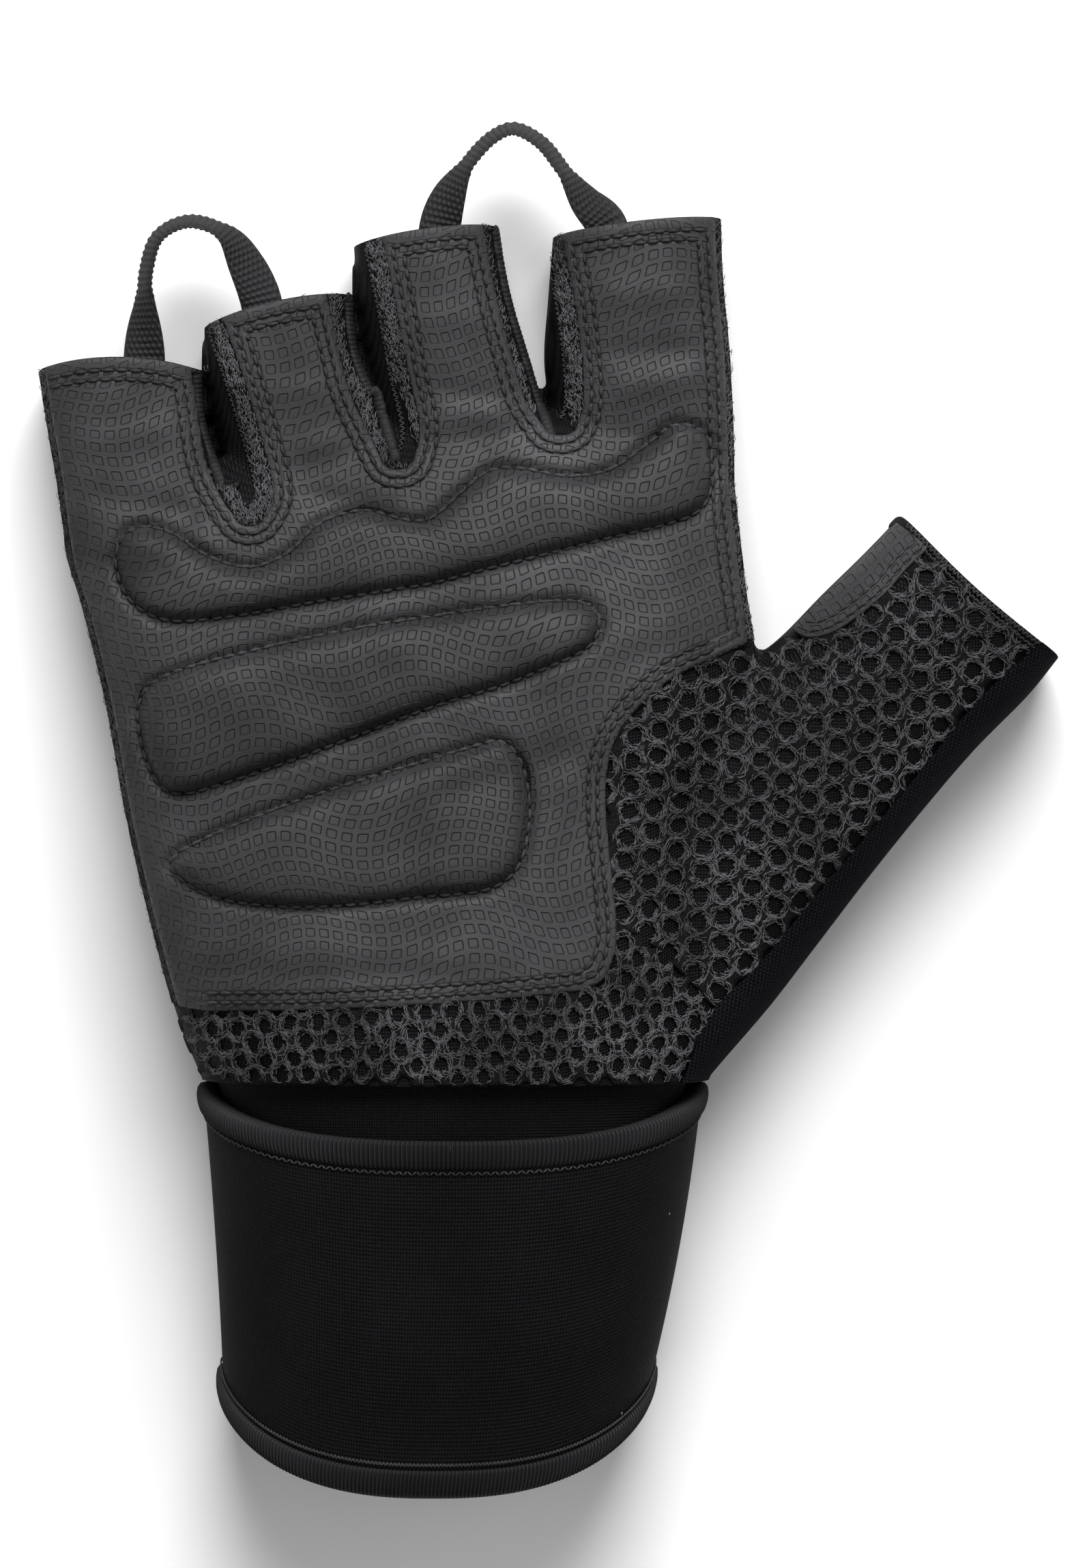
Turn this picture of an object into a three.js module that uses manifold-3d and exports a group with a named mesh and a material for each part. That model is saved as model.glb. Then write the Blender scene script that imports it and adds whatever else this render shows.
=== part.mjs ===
// Weightlifting glove for the right hand, lying on its back with the palm up.
// Millimetres, +Z up, +Y toward the fingers, +X toward the thumb.
// While it is built, y = 0 is the wrist line where the strap begins, and z = 0 is the flat back.
import * as THREE from 'three';
import * as BufferGeometryUtils from 'three/addons/utils/BufferGeometryUtils.js';
import Module from 'manifold-3d';

const wasm = await Module();
wasm.setup();

// Driving dimensions
const palmWidth = 110;
const palmLength = 96;
const pinkyLength = 26.7;
const ringLength = 30.2;
const middleLength = 34.4;
const indexLength = 33.6;
const thumbReach = 108;
const wristDepth = 38;
const palmDepth = 31;
const fingerDepth = 21;
const thumbDepth = 27;
const seamHeight = 10;
const wristWidth = 80;
const cuffEndWidth = 67.8;
const cuffEndDepth = 34;
const cuffLength = 49;
const topRimSag = 8;
const endRimSag = 15;
const sagPower = 1.5;

// Thicknesses and small sizes
const bodyWall = 1.8;
const collarWall = 1.4;
const collarLength = 16;
const collarTuck = 4;
const strapWall = 2.2;
const bindingWidth = 3.8;
const bindingSwell = 0.5;
const closureThickness = 2;
const closureWidth = 46;
const closureLength = 38;
const padRise = 2.4;
const padShoulder = 5;
const thumbRimWidth = 3.6;
const outerStrip = 1.4;
const indexStrip = 1.1;
const netHole = 3.4;
const netPitch = 6;
const netEdge = 1.1;
const crotchAlong = 0.722;
const heelTopAlong = 0.126;
const crotchAcross = 0.56;
const loopWidth = 6.6;
const loopThickness = 1.4;
const loopTuck = 6;
const loopPinkyRingHeight = 13.5;
const loopMiddleIndexHeight = 15.6;
const seamGap = 0.3;

// Side walls of the tubes: how square each one is, 2 being an ellipse
const fingerSquare = 3;
const thumbSquare = 2.7;
const wristSquare = 2.5;
const palmSquare = 4.6;
const backSink = 2.5;

// Points round each tube
const palmSides = 32;
const fingerSides = 18;
const thumbSides = 22;
const cuffSides = 32;

// Palm tube. left and right are the ends of a section, as shares of the palm width,
// leftAlong and rightAlong their places, as shares of the palm length.
// square runs from the wrist's roundness, 0, to the palm's, 1.
const palmRows = [
  { left: -0.259, leftAlong: 0.0, right: 0.468, rightAlong: 0.0, depth: 1.0, square: 0, bow: 0 },
  { left: -0.292, leftAlong: 0.095, right: 0.475, rightAlong: 0.1, depth: 1.0, square: 0.2, bow: 0 },
  { left: -0.326, leftAlong: 0.24, right: 0.47, rightAlong: 0.26, depth: 1.0, square: 0.5, bow: 0 },
  { left: -0.364, leftAlong: 0.423, right: 0.475, rightAlong: 0.455, depth: 1.0, square: 0.8, bow: 0 },
  { left: -0.395, leftAlong: 0.62, right: 0.54, rightAlong: 0.66, depth: 1.0, square: 1, bow: 0.01 },
  { left: -0.428, leftAlong: 0.77, right: 0.529, rightAlong: 0.82, depth: 1.0, square: 1, bow: 0.03 },
  { left: -0.453, leftAlong: 0.86, right: 0.515, rightAlong: 0.97, depth: 0.98, square: 1, bow: 0.06 },
  { left: -0.458, leftAlong: 0.905, right: 0.512, rightAlong: 1.05, depth: 0.86, square: 1, bow: 0.065 },
  { left: -0.455, leftAlong: 0.955, right: 0.5, rightAlong: 1.085, depth: 0.62, square: 0.8, bow: 0.07 },
];

// Finger tubes. along runs from the base, 0, to the hem, 1, left and right are shares of the palm width,
// rise is a share of the glove's height there.
const fingers = [
  {
    name: 'pinky', base: 0.898, length: pinkyLength, tilt: 0, bow: 1.8,
    rows: [
      { along: -0.55, left: -0.418, right: -0.18, rise: 0.62 },
      { along: -0.1, left: -0.452, right: -0.186, rise: 0.93 },
      { along: 0.35, left: -0.47, right: -0.227, rise: 1 },
      { along: 0.7, left: -0.485, right: -0.254, rise: 1 },
      { along: 1, left: -0.496, right: -0.261, rise: 0.97 },
    ],
  },
  {
    name: 'ring', base: 0.96, length: ringLength, tilt: 5.2, bow: 1.2,
    rows: [
      { along: -0.55, left: -0.165, right: 0.055, rise: 0.62 },
      { along: -0.1, left: -0.198, right: 0.046, rise: 0.93 },
      { along: 0.35, left: -0.234, right: 0.013, rise: 1 },
      { along: 0.7, left: -0.253, right: -0.032, rise: 1 },
      { along: 1, left: -0.256, right: -0.042, rise: 0.97 },
    ],
  },
  {
    name: 'middle', base: 1.04, length: middleLength, tilt: 3.2, bow: 0.8,
    rows: [
      { along: -0.55, left: 0.052, right: 0.268, rise: 0.62 },
      { along: -0.1, left: 0.022, right: 0.264, rise: 0.93 },
      { along: 0.35, left: -0.014, right: 0.221, rise: 1 },
      { along: 0.7, left: -0.033, right: 0.187, rise: 1 },
      { along: 1, left: -0.039, right: 0.17, rise: 0.97 },
    ],
  },
  {
    name: 'index', base: 1.063, length: indexLength, tilt: 3, bow: 0.6,
    rows: [
      { along: -0.55, left: 0.285, right: 0.505, rise: 0.62 },
      { along: -0.1, left: 0.262, right: 0.513, rise: 0.93 },
      { along: 0.35, left: 0.238, right: 0.508, rise: 1 },
      { along: 0.7, left: 0.243, right: 0.498, rise: 1 },
      { along: 1, left: 0.25, right: 0.494, rise: 0.97 },
    ],
  },
];

// Slots between the fingers, cut into the palm leather. reach runs from the slot's bottom, 0, to the hems, 1.
const slots = [
  {
    name: 'pinky_ring', bottom: 0.92,
    rows: [
      { reach: 0, left: -0.205, right: -0.165 },
      { reach: 0.12, left: -0.225, right: -0.151 },
      { reach: 0.37, left: -0.25, right: -0.167 },
      { reach: 0.72, left: -0.263, right: -0.197 },
      { reach: 1, left: -0.273, right: -0.225 },
    ],
  },
  {
    name: 'ring_middle', bottom: 1.015,
    rows: [
      { reach: 0, left: 0.004, right: 0.05 },
      { reach: 0.15, left: -0.014, right: 0.058 },
      { reach: 0.4, left: -0.043, right: 0.041 },
      { reach: 0.72, left: -0.063, right: 0.022 },
      { reach: 1, left: -0.078, right: 0.003 },
    ],
  },
  {
    name: 'middle_index', bottom: 1.073,
    rows: [
      { reach: 0, left: 0.236, right: 0.285 },
      { reach: 0.12, left: 0.211, right: 0.294 },
      { reach: 0.35, left: 0.19, right: 0.291 },
      { reach: 0.65, left: 0.167, right: 0.28 },
      { reach: 1, left: 0.147, right: 0.26 },
    ],
  },
];

// Thumb tube, from its mouth down to the wrist: inner edge and outer edge of each section.
// x is a share of the thumb's reach, y of the palm length.
const thumbRows = [
  { inner: 0.768, innerAlong: 0.935, outer: 0.996, outerAlong: 0.704, rise: 0.97 },
  { inner: 0.715, innerAlong: 0.873, outer: 0.95, outerAlong: 0.64, rise: 1 },
  { inner: 0.653, innerAlong: 0.805, outer: 0.871, outerAlong: 0.55, rise: 1 },
  { inner: 0.583, innerAlong: 0.726, outer: 0.787, outerAlong: 0.439, rise: 1 },
  { inner: 0.5, innerAlong: 0.66, outer: 0.713, outerAlong: 0.335, rise: 1 },
  { inner: 0.41, innerAlong: 0.56, outer: 0.645, outerAlong: 0.235, rise: 0.98 },
  { inner: 0.35, innerAlong: 0.38, outer: 0.573, outerAlong: 0.13, rise: 0.95 },
  { inner: 0.29, innerAlong: 0.17, outer: 0.508, outerAlong: 0.045, rise: 0.92 },
  { inner: 0.27, innerAlong: 0.02, outer: 0.477, outerAlong: 0.003, rise: 0.88 },
];

// Leather edges. x is a share of the palm width, y of the palm length.
const thumbSeam = [
  { x: 0.483, y: 0.697 },
  { x: 0.426, y: 0.667 },
  { x: 0.381, y: 0.625 },
  { x: 0.345, y: 0.576 },
  { x: 0.328, y: 0.52 },
  { x: 0.325, y: 0.45 },
  { x: 0.333, y: 0.348 },
  { x: 0.34, y: 0.263 },
  { x: 0.337, y: 0.215 },
  { x: 0.32, y: 0.172 },
  { x: 0.283, y: 0.153 },
];
const heelEdge = [
  { x: 0.141, y: 0.138 },
  { x: -0.058, y: 0.125 },
  { x: -0.244, y: 0.12 },
];
// Seam between the thumb mesh and the heel mesh, then on past the silhouette.
const heelSeam = [
  { x: 0.341, y: 0.267 },
  { x: 0.403, y: 0.222 },
  { x: 0.483, y: 0.126 },
  { x: 0.54, y: 0.03 },
  { x: 0.54, y: -0.08 },
];
// Seam between the thumb mesh and the fleece band, from the thumb mouth down to the wrist.
const bandSeam = [
  { x: 0.99, y: 0.742 },
  { x: 0.878, y: 0.63 },
  { x: 0.766, y: 0.475 },
  { x: 0.645, y: 0.315 },
  { x: 0.556, y: 0.195 },
  { x: 0.484, y: 0.112 },
  { x: 0.43, y: -0.04 },
];
// Patch at the inner thumb tip: the curve that closes it toward the mesh.
const patchEdge = [
  { x: 0.9, y: 0.97 },
  { x: 0.768, y: 0.868 },
  { x: 0.722, y: 0.812 },
  { x: 0.662, y: 0.757 },
  { x: 0.625, y: 0.735 },
  { x: 0.598, y: 0.755 },
];

// Pads on the palm leather: upper and lower edge at each station across the palm.
const pads = [
  {
    name: 'pad_upper',
    rows: [
      { x: -0.378, top: 0.862, bottom: 0.855 },
      { x: -0.366, top: 0.9, bottom: 0.809 },
      { x: -0.337, top: 0.913, bottom: 0.774 },
      { x: -0.296, top: 0.901, bottom: 0.758 },
      { x: -0.248, top: 0.865, bottom: 0.76 },
      { x: -0.186, top: 0.844, bottom: 0.769 },
      { x: -0.128, top: 0.869, bottom: 0.781 },
      { x: -0.084, top: 0.918, bottom: 0.79 },
      { x: -0.022, top: 0.939, bottom: 0.801 },
      { x: 0.036, top: 0.923, bottom: 0.812 },
      { x: 0.076, top: 0.925, bottom: 0.819 },
      { x: 0.121, top: 0.971, bottom: 0.833 },
      { x: 0.163, top: 1.007, bottom: 0.846 },
      { x: 0.213, top: 1.007, bottom: 0.86 },
      { x: 0.27, top: 0.995, bottom: 0.877 },
      { x: 0.331, top: 1.006, bottom: 0.895 },
      { x: 0.384, top: 1.047, bottom: 0.909 },
      { x: 0.422, top: 1.081, bottom: 0.921 },
      { x: 0.449, top: 1.08, bottom: 0.932 },
      { x: 0.471, top: 1.065, bottom: 0.956 },
      { x: 0.482, top: 1.023, bottom: 1.005 },
    ],
  },
  {
    name: 'pad_middle',
    rows: [
      { x: -0.344, top: 0.612, bottom: 0.604 },
      { x: -0.334, top: 0.644, bottom: 0.54 },
      { x: -0.311, top: 0.662, bottom: 0.489 },
      { x: -0.281, top: 0.676, bottom: 0.474 },
      { x: -0.227, top: 0.694, bottom: 0.489 },
      { x: -0.128, top: 0.721, bottom: 0.527 },
      { x: -0.022, top: 0.746, bottom: 0.573 },
      { x: 0.081, top: 0.764, bottom: 0.618 },
      { x: 0.175, top: 0.78, bottom: 0.651 },
      { x: 0.254, top: 0.789, bottom: 0.687 },
      { x: 0.29, top: 0.787, bottom: 0.706 },
      { x: 0.308, top: 0.775, bottom: 0.723 },
      { x: 0.317, top: 0.755, bottom: 0.748 },
    ],
  },
  {
    name: 'pad_lower',
    rows: [
      { x: -0.296, top: 0.361, bottom: 0.353 },
      { x: -0.284, top: 0.378, bottom: 0.34 },
      { x: -0.257, top: 0.394, bottom: 0.319 },
      { x: -0.213, top: 0.417, bottom: 0.301 },
      { x: -0.127, top: 0.456, bottom: 0.291 },
      { x: -0.038, top: 0.49, bottom: 0.294 },
      { x: 0.062, top: 0.525, bottom: 0.307 },
      { x: 0.141, top: 0.552, bottom: 0.315 },
      { x: 0.171, top: 0.561, bottom: 0.326 },
      { x: 0.193, top: 0.546, bottom: 0.344 },
      { x: 0.209, top: 0.511, bottom: 0.381 },
      { x: 0.217, top: 0.45, bottom: 0.442 },
    ],
  },
];

// Helpers
const mix = THREE.MathUtils.lerp;
const smooth = (value) => THREE.MathUtils.smoothstep(value, 0, 1);
const signedPower = (value, power) => Math.sign(value) * Math.abs(value) ** power;
const onPalm = (row) => new THREE.Vector2(row.x * palmWidth, row.y * palmLength);
const onThumb = (row) => new THREE.Vector2(row.x * thumbReach, row.y * palmLength);

// Height of the glove's front above the flat back, at a distance y from the wrist line.
function frontHeight(y) {
  const toPalm = smooth(y / (0.6 * palmLength));
  const toFingers = smooth((y / palmLength - 0.55) / 0.55);
  return mix(mix(wristDepth, palmDepth, toPalm), fingerDepth, toFingers);
}

// One section of a tube, grown outward by grow.
// left and right are its ends in plan, floor the level it lies on.
function section(row, sides, grow) {
  const across = row.right.clone().sub(row.left).normalize();
  const left = row.left.clone().addScaledVector(across, -grow);
  const right = row.right.clone().addScaledVector(across, grow);
  const floor = (row.floor ?? 0) - grow;
  const points = [];
  for (let i = 0; i < sides; i += 1) {
    const angle = (2 * Math.PI * i) / sides;
    const along = signedPower(Math.cos(angle), 2 / row.square);
    const lift = signedPower(Math.sin(angle), 2 / row.square);
    const plan = left.clone().lerp(right, (1 + along) / 2);
    const above = row.top + grow - seamHeight;
    const below = seamHeight + backSink + grow;
    const z = seamHeight + lift * (lift > 0 ? above : below);
    const y = plan.y + (row.bow ?? 0) * (1 - along ** 2) - (row.sag ?? 0) * Math.max(0, lift) ** sagPower;
    points.push(new THREE.Vector3(plan.x, y, Math.max(z, floor)));
  }
  return points;
}

// Closed solid through a list of rings, each with the same number of points.
function loftGeometry(rings) {
  const sides = rings[0].length;
  const positions = rings.flat().flatMap((point) => [point.x, point.y, point.z]);
  const indices = [];
  for (let r = 0; r + 1 < rings.length; r += 1) {
    for (let i = 0; i < sides; i += 1) {
      const a = r * sides + i;
      const b = r * sides + ((i + 1) % sides);
      indices.push(a, b, b + sides, a, b + sides, a + sides);
    }
  }
  for (const start of [0, (rings.length - 1) * sides]) {
    const centre = new THREE.Vector3();
    for (let i = 0; i < sides; i += 1) centre.addScaledVector(rings[start / sides][i], 1 / sides);
    const hub = positions.length / 3;
    positions.push(centre.x, centre.y, centre.z);
    for (let i = 0; i < sides; i += 1) {
      const a = start + i;
      const b = start + ((i + 1) % sides);
      indices.push(...(start === 0 ? [hub, b, a] : [hub, a, b]));
    }
  }
  const geometry = new THREE.BufferGeometry();
  geometry.setAttribute('position', new THREE.Float32BufferAttribute(positions, 3));
  geometry.setIndex(indices);
  return outward(geometry);
}

// Turns a closed geometry's faces outward.
function outward(geometry) {
  const position = geometry.getAttribute('position');
  const index = geometry.getIndex();
  const corner = (i) => new THREE.Vector3().fromBufferAttribute(position, index.getX(i));
  let volume = 0;
  for (let i = 0; i < index.count; i += 3) volume += corner(i).dot(corner(i + 1).cross(corner(i + 2)));
  if (volume < 0) {
    for (let i = 0; i < index.count; i += 3) {
      const second = index.getX(i + 1);
      index.setX(i + 1, index.getX(i + 2));
      index.setX(i + 2, second);
    }
  }
  return geometry;
}

// Geometry to solid and back, for cutting and joining.
function toSolid(geometry) {
  const bare = geometry.clone();
  bare.deleteAttribute('normal');
  bare.deleteAttribute('uv');
  const merged = BufferGeometryUtils.mergeVertices(bare, 1e-4);
  return new wasm.Manifold(new wasm.Mesh({
    numProp: 3,
    vertProperties: new Float32Array(merged.getAttribute('position').array),
    triVerts: new Uint32Array(merged.getIndex().array),
  }));
}

function toGeometry(solid) {
  const mesh = solid.getMesh();
  const geometry = new THREE.BufferGeometry();
  const positions = [];
  for (let i = 0; i < mesh.vertProperties.length; i += mesh.numProp) {
    positions.push(...mesh.vertProperties.slice(i, i + 3));
  }
  geometry.setAttribute('position', new THREE.Float32BufferAttribute(positions, 3));
  geometry.setIndex(Array.from(mesh.triVerts));
  return geometry;
}

const joined = (solids) => solids.reduce((whole, solid) => whole.add(solid));
const loft = (rows, sides, grow) => toSolid(loftGeometry(rows.map((row) => section(row, sides, grow))));

// Rows with smooth steps between them: every number and every plan point runs on a Catmull-Rom curve.
function refined(rows, steps) {
  const fine = [];
  const spline = (p0, p1, p2, p3, t) => {
    const v0 = (p2 - p0) / 2;
    const v1 = (p3 - p1) / 2;
    return (2 * p1 - 2 * p2 + v0 + v1) * t ** 3 + (-3 * p1 + 3 * p2 - 2 * v0 - v1) * t ** 2 + v0 * t + p1;
  };
  for (let i = 0; i + 1 < rows.length; i += 1) {
    for (let step = 0; step < steps; step += 1) {
      const near = [rows[Math.max(i - 1, 0)], rows[i], rows[i + 1], rows[Math.min(i + 2, rows.length - 1)]];
      const row = {};
      for (const key of Object.keys(rows[i])) {
        const values = near.map((one) => one[key]);
        row[key] = values[0].isVector2
          ? new THREE.Vector2(
            spline(...values.map((value) => value.x), step / steps),
            spline(...values.map((value) => value.y), step / steps),
          )
          : spline(...values, step / steps);
      }
      fine.push(row);
    }
  }
  fine.push(rows[rows.length - 1]);
  return fine;
}

// Outline through a few points, with a step or more between each two.
function curve(points, steps) {
  return new THREE.SplineCurve(points).getPoints((points.length - 1) * steps);
}

// Outline moved outward by distance, corner by corner.
function grownOutline(points, distance) {
  const turn = THREE.ShapeUtils.isClockWise(points) ? -1 : 1;
  return points.map((point, i) => {
    const before = points[(i + points.length - 1) % points.length];
    const after = points[(i + 1) % points.length];
    const first = point.clone().sub(before).normalize();
    const second = after.clone().sub(point).normalize();
    const sum = first.clone().add(second).multiplyScalar(turn);
    const normal = new THREE.Vector2(sum.y, -sum.x).normalize();
    const lean = Math.max(0.5, normal.dot(new THREE.Vector2(first.y, -first.x).multiplyScalar(turn)));
    return point.clone().addScaledVector(normal, distance / lean);
  });
}

// Upright prism over a plan outline.
const prismTop = wristDepth + palmDepth;
function prism(points, from = -prismTop, to = prismTop) {
  const options = { depth: to - from, bevelEnabled: false };
  const geometry = new THREE.ExtrudeGeometry(new THREE.Shape(points), options);
  geometry.translate(0, 0, from);
  return toSolid(geometry);
}

// Finger rows in millimetres.
function fingerRow(finger, row) {
  const y = finger.base * palmLength + row.along * finger.length;
  const tilt = finger.tilt * Math.max(0, row.along);
  return {
    left: new THREE.Vector2(row.left * palmWidth, y - tilt / 2),
    right: new THREE.Vector2(row.right * palmWidth, y + tilt / 2),
    top: frontHeight(y) * row.rise,
    bow: finger.bow * Math.max(0, row.along),
    square: fingerSquare,
  };
}

// An open end carries on past itself by reach, so that the hollow cuts through.
function carriedOn(rows, reach, atStart) {
  const [end, next] = atStart ? [rows[0], rows[1]] : [rows[rows.length - 1], rows[rows.length - 2]];
  const way = end.left.clone().add(end.right).sub(next.left).sub(next.right).normalize();
  const past = { ...end };
  past.left = end.left.clone().addScaledVector(way, reach);
  past.right = end.right.clone().addScaledVector(way, reach);
  return atStart ? [past, ...rows] : [...rows, past];
}

const openReach = 6;
function palmTube(grow, steps) {
  let rows = palmRows.map((row) => ({
    left: new THREE.Vector2(row.left * palmWidth, row.leftAlong * palmLength),
    right: new THREE.Vector2(row.right * palmWidth, row.rightAlong * palmLength),
    top: mix(seamHeight, frontHeight(((row.leftAlong + row.rightAlong) / 2) * palmLength), row.depth),
    bow: row.bow * palmLength,
    square: mix(wristSquare, palmSquare, row.square),
  }));
  rows = refined(rows, steps);
  const last = rows[rows.length - 1];
  last.left.y += grow;
  last.right.y += grow;
  if (grow < 0) rows = carriedOn(rows, openReach, true);
  return loft(rows, palmSides, grow);
}

function fingerTube(finger, grow, steps) {
  let rows = refined(finger.rows.map((row) => fingerRow(finger, row)), steps);
  if (grow < 0) rows = carriedOn(rows, openReach, false);
  return loft(rows, fingerSides, grow);
}

function thumbTube(grow, steps) {
  let rows = thumbRows.map((row) => {
    const inner = onThumb({ x: row.inner, y: row.innerAlong });
    const outer = onThumb({ x: row.outer, y: row.outerAlong });
    const toWrist = smooth(1 - (inner.x + outer.x) / 2 / (0.8 * thumbReach));
    const height = mix(thumbDepth, frontHeight((inner.y + outer.y) / 2), toWrist);
    return { left: inner, right: outer, top: height * row.rise, square: thumbSquare };
  });
  rows = refined(rows, steps);
  const last = rows[rows.length - 1];
  last.left.y -= grow;
  last.right.y -= grow;
  if (grow < 0) rows = carriedOn(rows, openReach, true);
  return loft(rows, thumbSides, grow);
}

// The whole hand, grown outward by grow, with steps rings between each two rows.
function hand(grow, steps) {
  return joined([
    palmTube(grow, steps),
    ...fingers.map((finger) => fingerTube(finger, grow, steps)),
    thumbTube(grow, steps),
  ]);
}

const outerHand = hand(0, 2);
const shell = outerHand.subtract(hand(-bodyWall, 1));
const padBed = hand(seamGap, 2);

// Outline of the palm leather, past the hems at the finger ends.
const hemReach = 12;
const fingerHem = fingers.map((finger) => finger.base * palmLength + finger.length);
function slotEdge(slot, k, side) {
  const bottom = slot.bottom * palmLength;
  const finger = fingers[side === 'left' ? k : k + 1];
  const hem = fingerHem[side === 'left' ? k : k + 1] + (finger.tilt / 2) * (side === 'left' ? 1 : -1);
  const points = slot.rows.map((row) => (
    new THREE.Vector2(row[side] * palmWidth, mix(bottom, hem, row.reach))
  ));
  const last = points[points.length - 1];
  return [...points, new THREE.Vector2(last.x, last.y + hemReach)];
}

// The leather stops a strip's width short of the silhouette on the outer side and on the index side.
const pinkyRows = fingers[0].rows.slice(2).map((row) => fingerRow(fingers[0], row));
const indexRows = fingers[3].rows.slice(1).map((row) => fingerRow(fingers[3], row));
const palmSide = palmRows.map((row) => onPalm({ x: row.left, y: row.leftAlong }));
const heelTop = heelTopAlong * palmLength;
const heelShare = (heelTop - palmSide[1].y) / (palmSide[2].y - palmSide[1].y);
const outerEdge = [
  palmSide[1].clone().lerp(palmSide[2], heelShare),
  ...palmSide.slice(2, 7),
  ...pinkyRows.map((row) => row.left),
].map((point) => new THREE.Vector2(point.x + outerStrip, point.y));
const indexEdge = [
  ...indexRows.reverse().map((row) => row.right),
  ...palmRows.slice(5, 7).reverse().map((row) => onPalm({ x: row.right, y: row.rightAlong })),
  new THREE.Vector2(palmRows[4].right * palmWidth, crotchAlong * palmLength),
].map((point) => new THREE.Vector2(point.x - indexStrip, point.y));

function leatherOutline() {
  const points = curve(outerEdge, 2);
  points.push(new THREE.Vector2(outerEdge[outerEdge.length - 1].x, fingerHem[0] + hemReach));
  slots.forEach((slot, k) => {
    points.push(...slotEdge(slot, k, 'left').reverse());
    points.push(...slotEdge(slot, k, 'right'));
  });
  points.push(new THREE.Vector2(indexEdge[0].x, fingerHem[3] + hemReach));
  points.push(...curve(indexEdge, 2));
  points.push(...curve(thumbSeam.map(onPalm), 2));
  points.push(...heelEdge.map(onPalm));
  return points;
}

// Cutting regions, from the thumb mouth inward.
// A region grown by the seam gap is taken out for the next piece.
const wide = 2 * palmWidth;
const mouth = [thumbRows[0], thumbRows[1]].map((row) => [
  onThumb({ x: row.inner, y: row.innerAlong }),
  onThumb({ x: row.outer, y: row.outerAlong }),
]);
const mouthAcross = mouth[0][1].clone().sub(mouth[0][0]).normalize();
const mouthOut = new THREE.Vector2(-mouthAcross.y, mouthAcross.x);
if (mouthOut.dot(mouth[0][0].clone().sub(mouth[1][0])) < 0) mouthOut.negate();
function rimRegion(grow) {
  const centre = mouth[0][0].clone().lerp(mouth[0][1], 0.5);
  const corner = (across, out) => (
    centre.clone().addScaledVector(mouthAcross, across).addScaledVector(mouthOut, out)
  );
  const half = thumbReach / 3;
  const back = -thumbRimWidth - grow;
  return [corner(-half, back), corner(half, back), corner(half, half), corner(-half, half)];
}

const bandRegion = [
  ...curve(bandSeam.map(onThumb), 2),
  new THREE.Vector2(wide, bandSeam[bandSeam.length - 1].y * palmLength),
  new THREE.Vector2(wide, bandSeam[0].y * palmLength),
];
const heelRegion = [
  new THREE.Vector2(-wide, heelTop),
  outerEdge[0],
  new THREE.Vector2(0, 0.25 * palmLength),
  ...heelSeam.map(onPalm),
  new THREE.Vector2(-wide, heelSeam[heelSeam.length - 1].y * palmLength),
];
const patchRegion = [
  ...curve(patchEdge.map(onThumb), 2),
  new THREE.Vector2(patchEdge[5].x * thumbReach, palmLength * 1.2),
  new THREE.Vector2(wide, palmLength * 1.2),
  new THREE.Vector2(wide, patchEdge[0].y * palmLength),
];
const thumbRegion = [
  onPalm({ x: 0, y: crotchAlong }),
  onPalm({ x: crotchAcross, y: crotchAlong }),
  onPalm({ x: crotchAcross, y: 1.2 }),
  new THREE.Vector2(wide, palmLength * 1.2),
  new THREE.Vector2(wide, -palmLength * 0.1),
  new THREE.Vector2(0, -palmLength * 0.1),
];

const leather = leatherOutline();
const rimSolid = shell.intersect(prism(rimRegion(0)));
const offRim = shell.subtract(prism(rimRegion(seamGap)));
const bandSolid = offRim.intersect(prism(bandRegion));
const offBand = offRim.subtract(prism(grownOutline(bandRegion, seamGap)));
const everywhere = [
  new THREE.Vector2(-wide, -wide),
  new THREE.Vector2(wide, -wide),
  new THREE.Vector2(wide, wide),
  new THREE.Vector2(-wide, wide),
];
const backSolid = offBand.intersect(prism(everywhere, -prismTop, seamHeight));
const front = offBand.intersect(prism(everywhere, seamHeight + seamGap, prismTop));
const palmSolid = front.intersect(prism(leather));
const offLeather = front.subtract(prism(grownOutline(leather, seamGap)));
const heelSolid = offLeather.intersect(prism(heelRegion));
const offHeel = offLeather.subtract(prism(grownOutline(heelRegion, seamGap)));
const thumbSide = offHeel.intersect(prism(thumbRegion));
const patchSolid = thumbSide.intersect(prism(patchRegion));
const thumbNet = thumbSide.subtract(prism(grownOutline(patchRegion, seamGap)));
const sideWalls = offHeel.subtract(prism(grownOutline(thumbRegion, seamGap)));

// Distance from a plan point to the nearest edge of an outline, negative outside it.
function clearance(point, outline) {
  let nearest = Infinity;
  let inside = false;
  outline.forEach((from, i) => {
    const side = outline[(i + 1) % outline.length].clone().sub(from);
    const share = THREE.MathUtils.clamp(point.clone().sub(from).dot(side) / side.lengthSq(), 0, 1);
    nearest = Math.min(nearest, point.distanceTo(from.clone().addScaledVector(side, share)));
    const level = (point.y - from.y) / side.y;
    if (level > 0 && level <= 1 && point.x < from.x + level * side.x) inside = !inside;
  });
  return inside ? nearest : -nearest;
}

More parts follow.
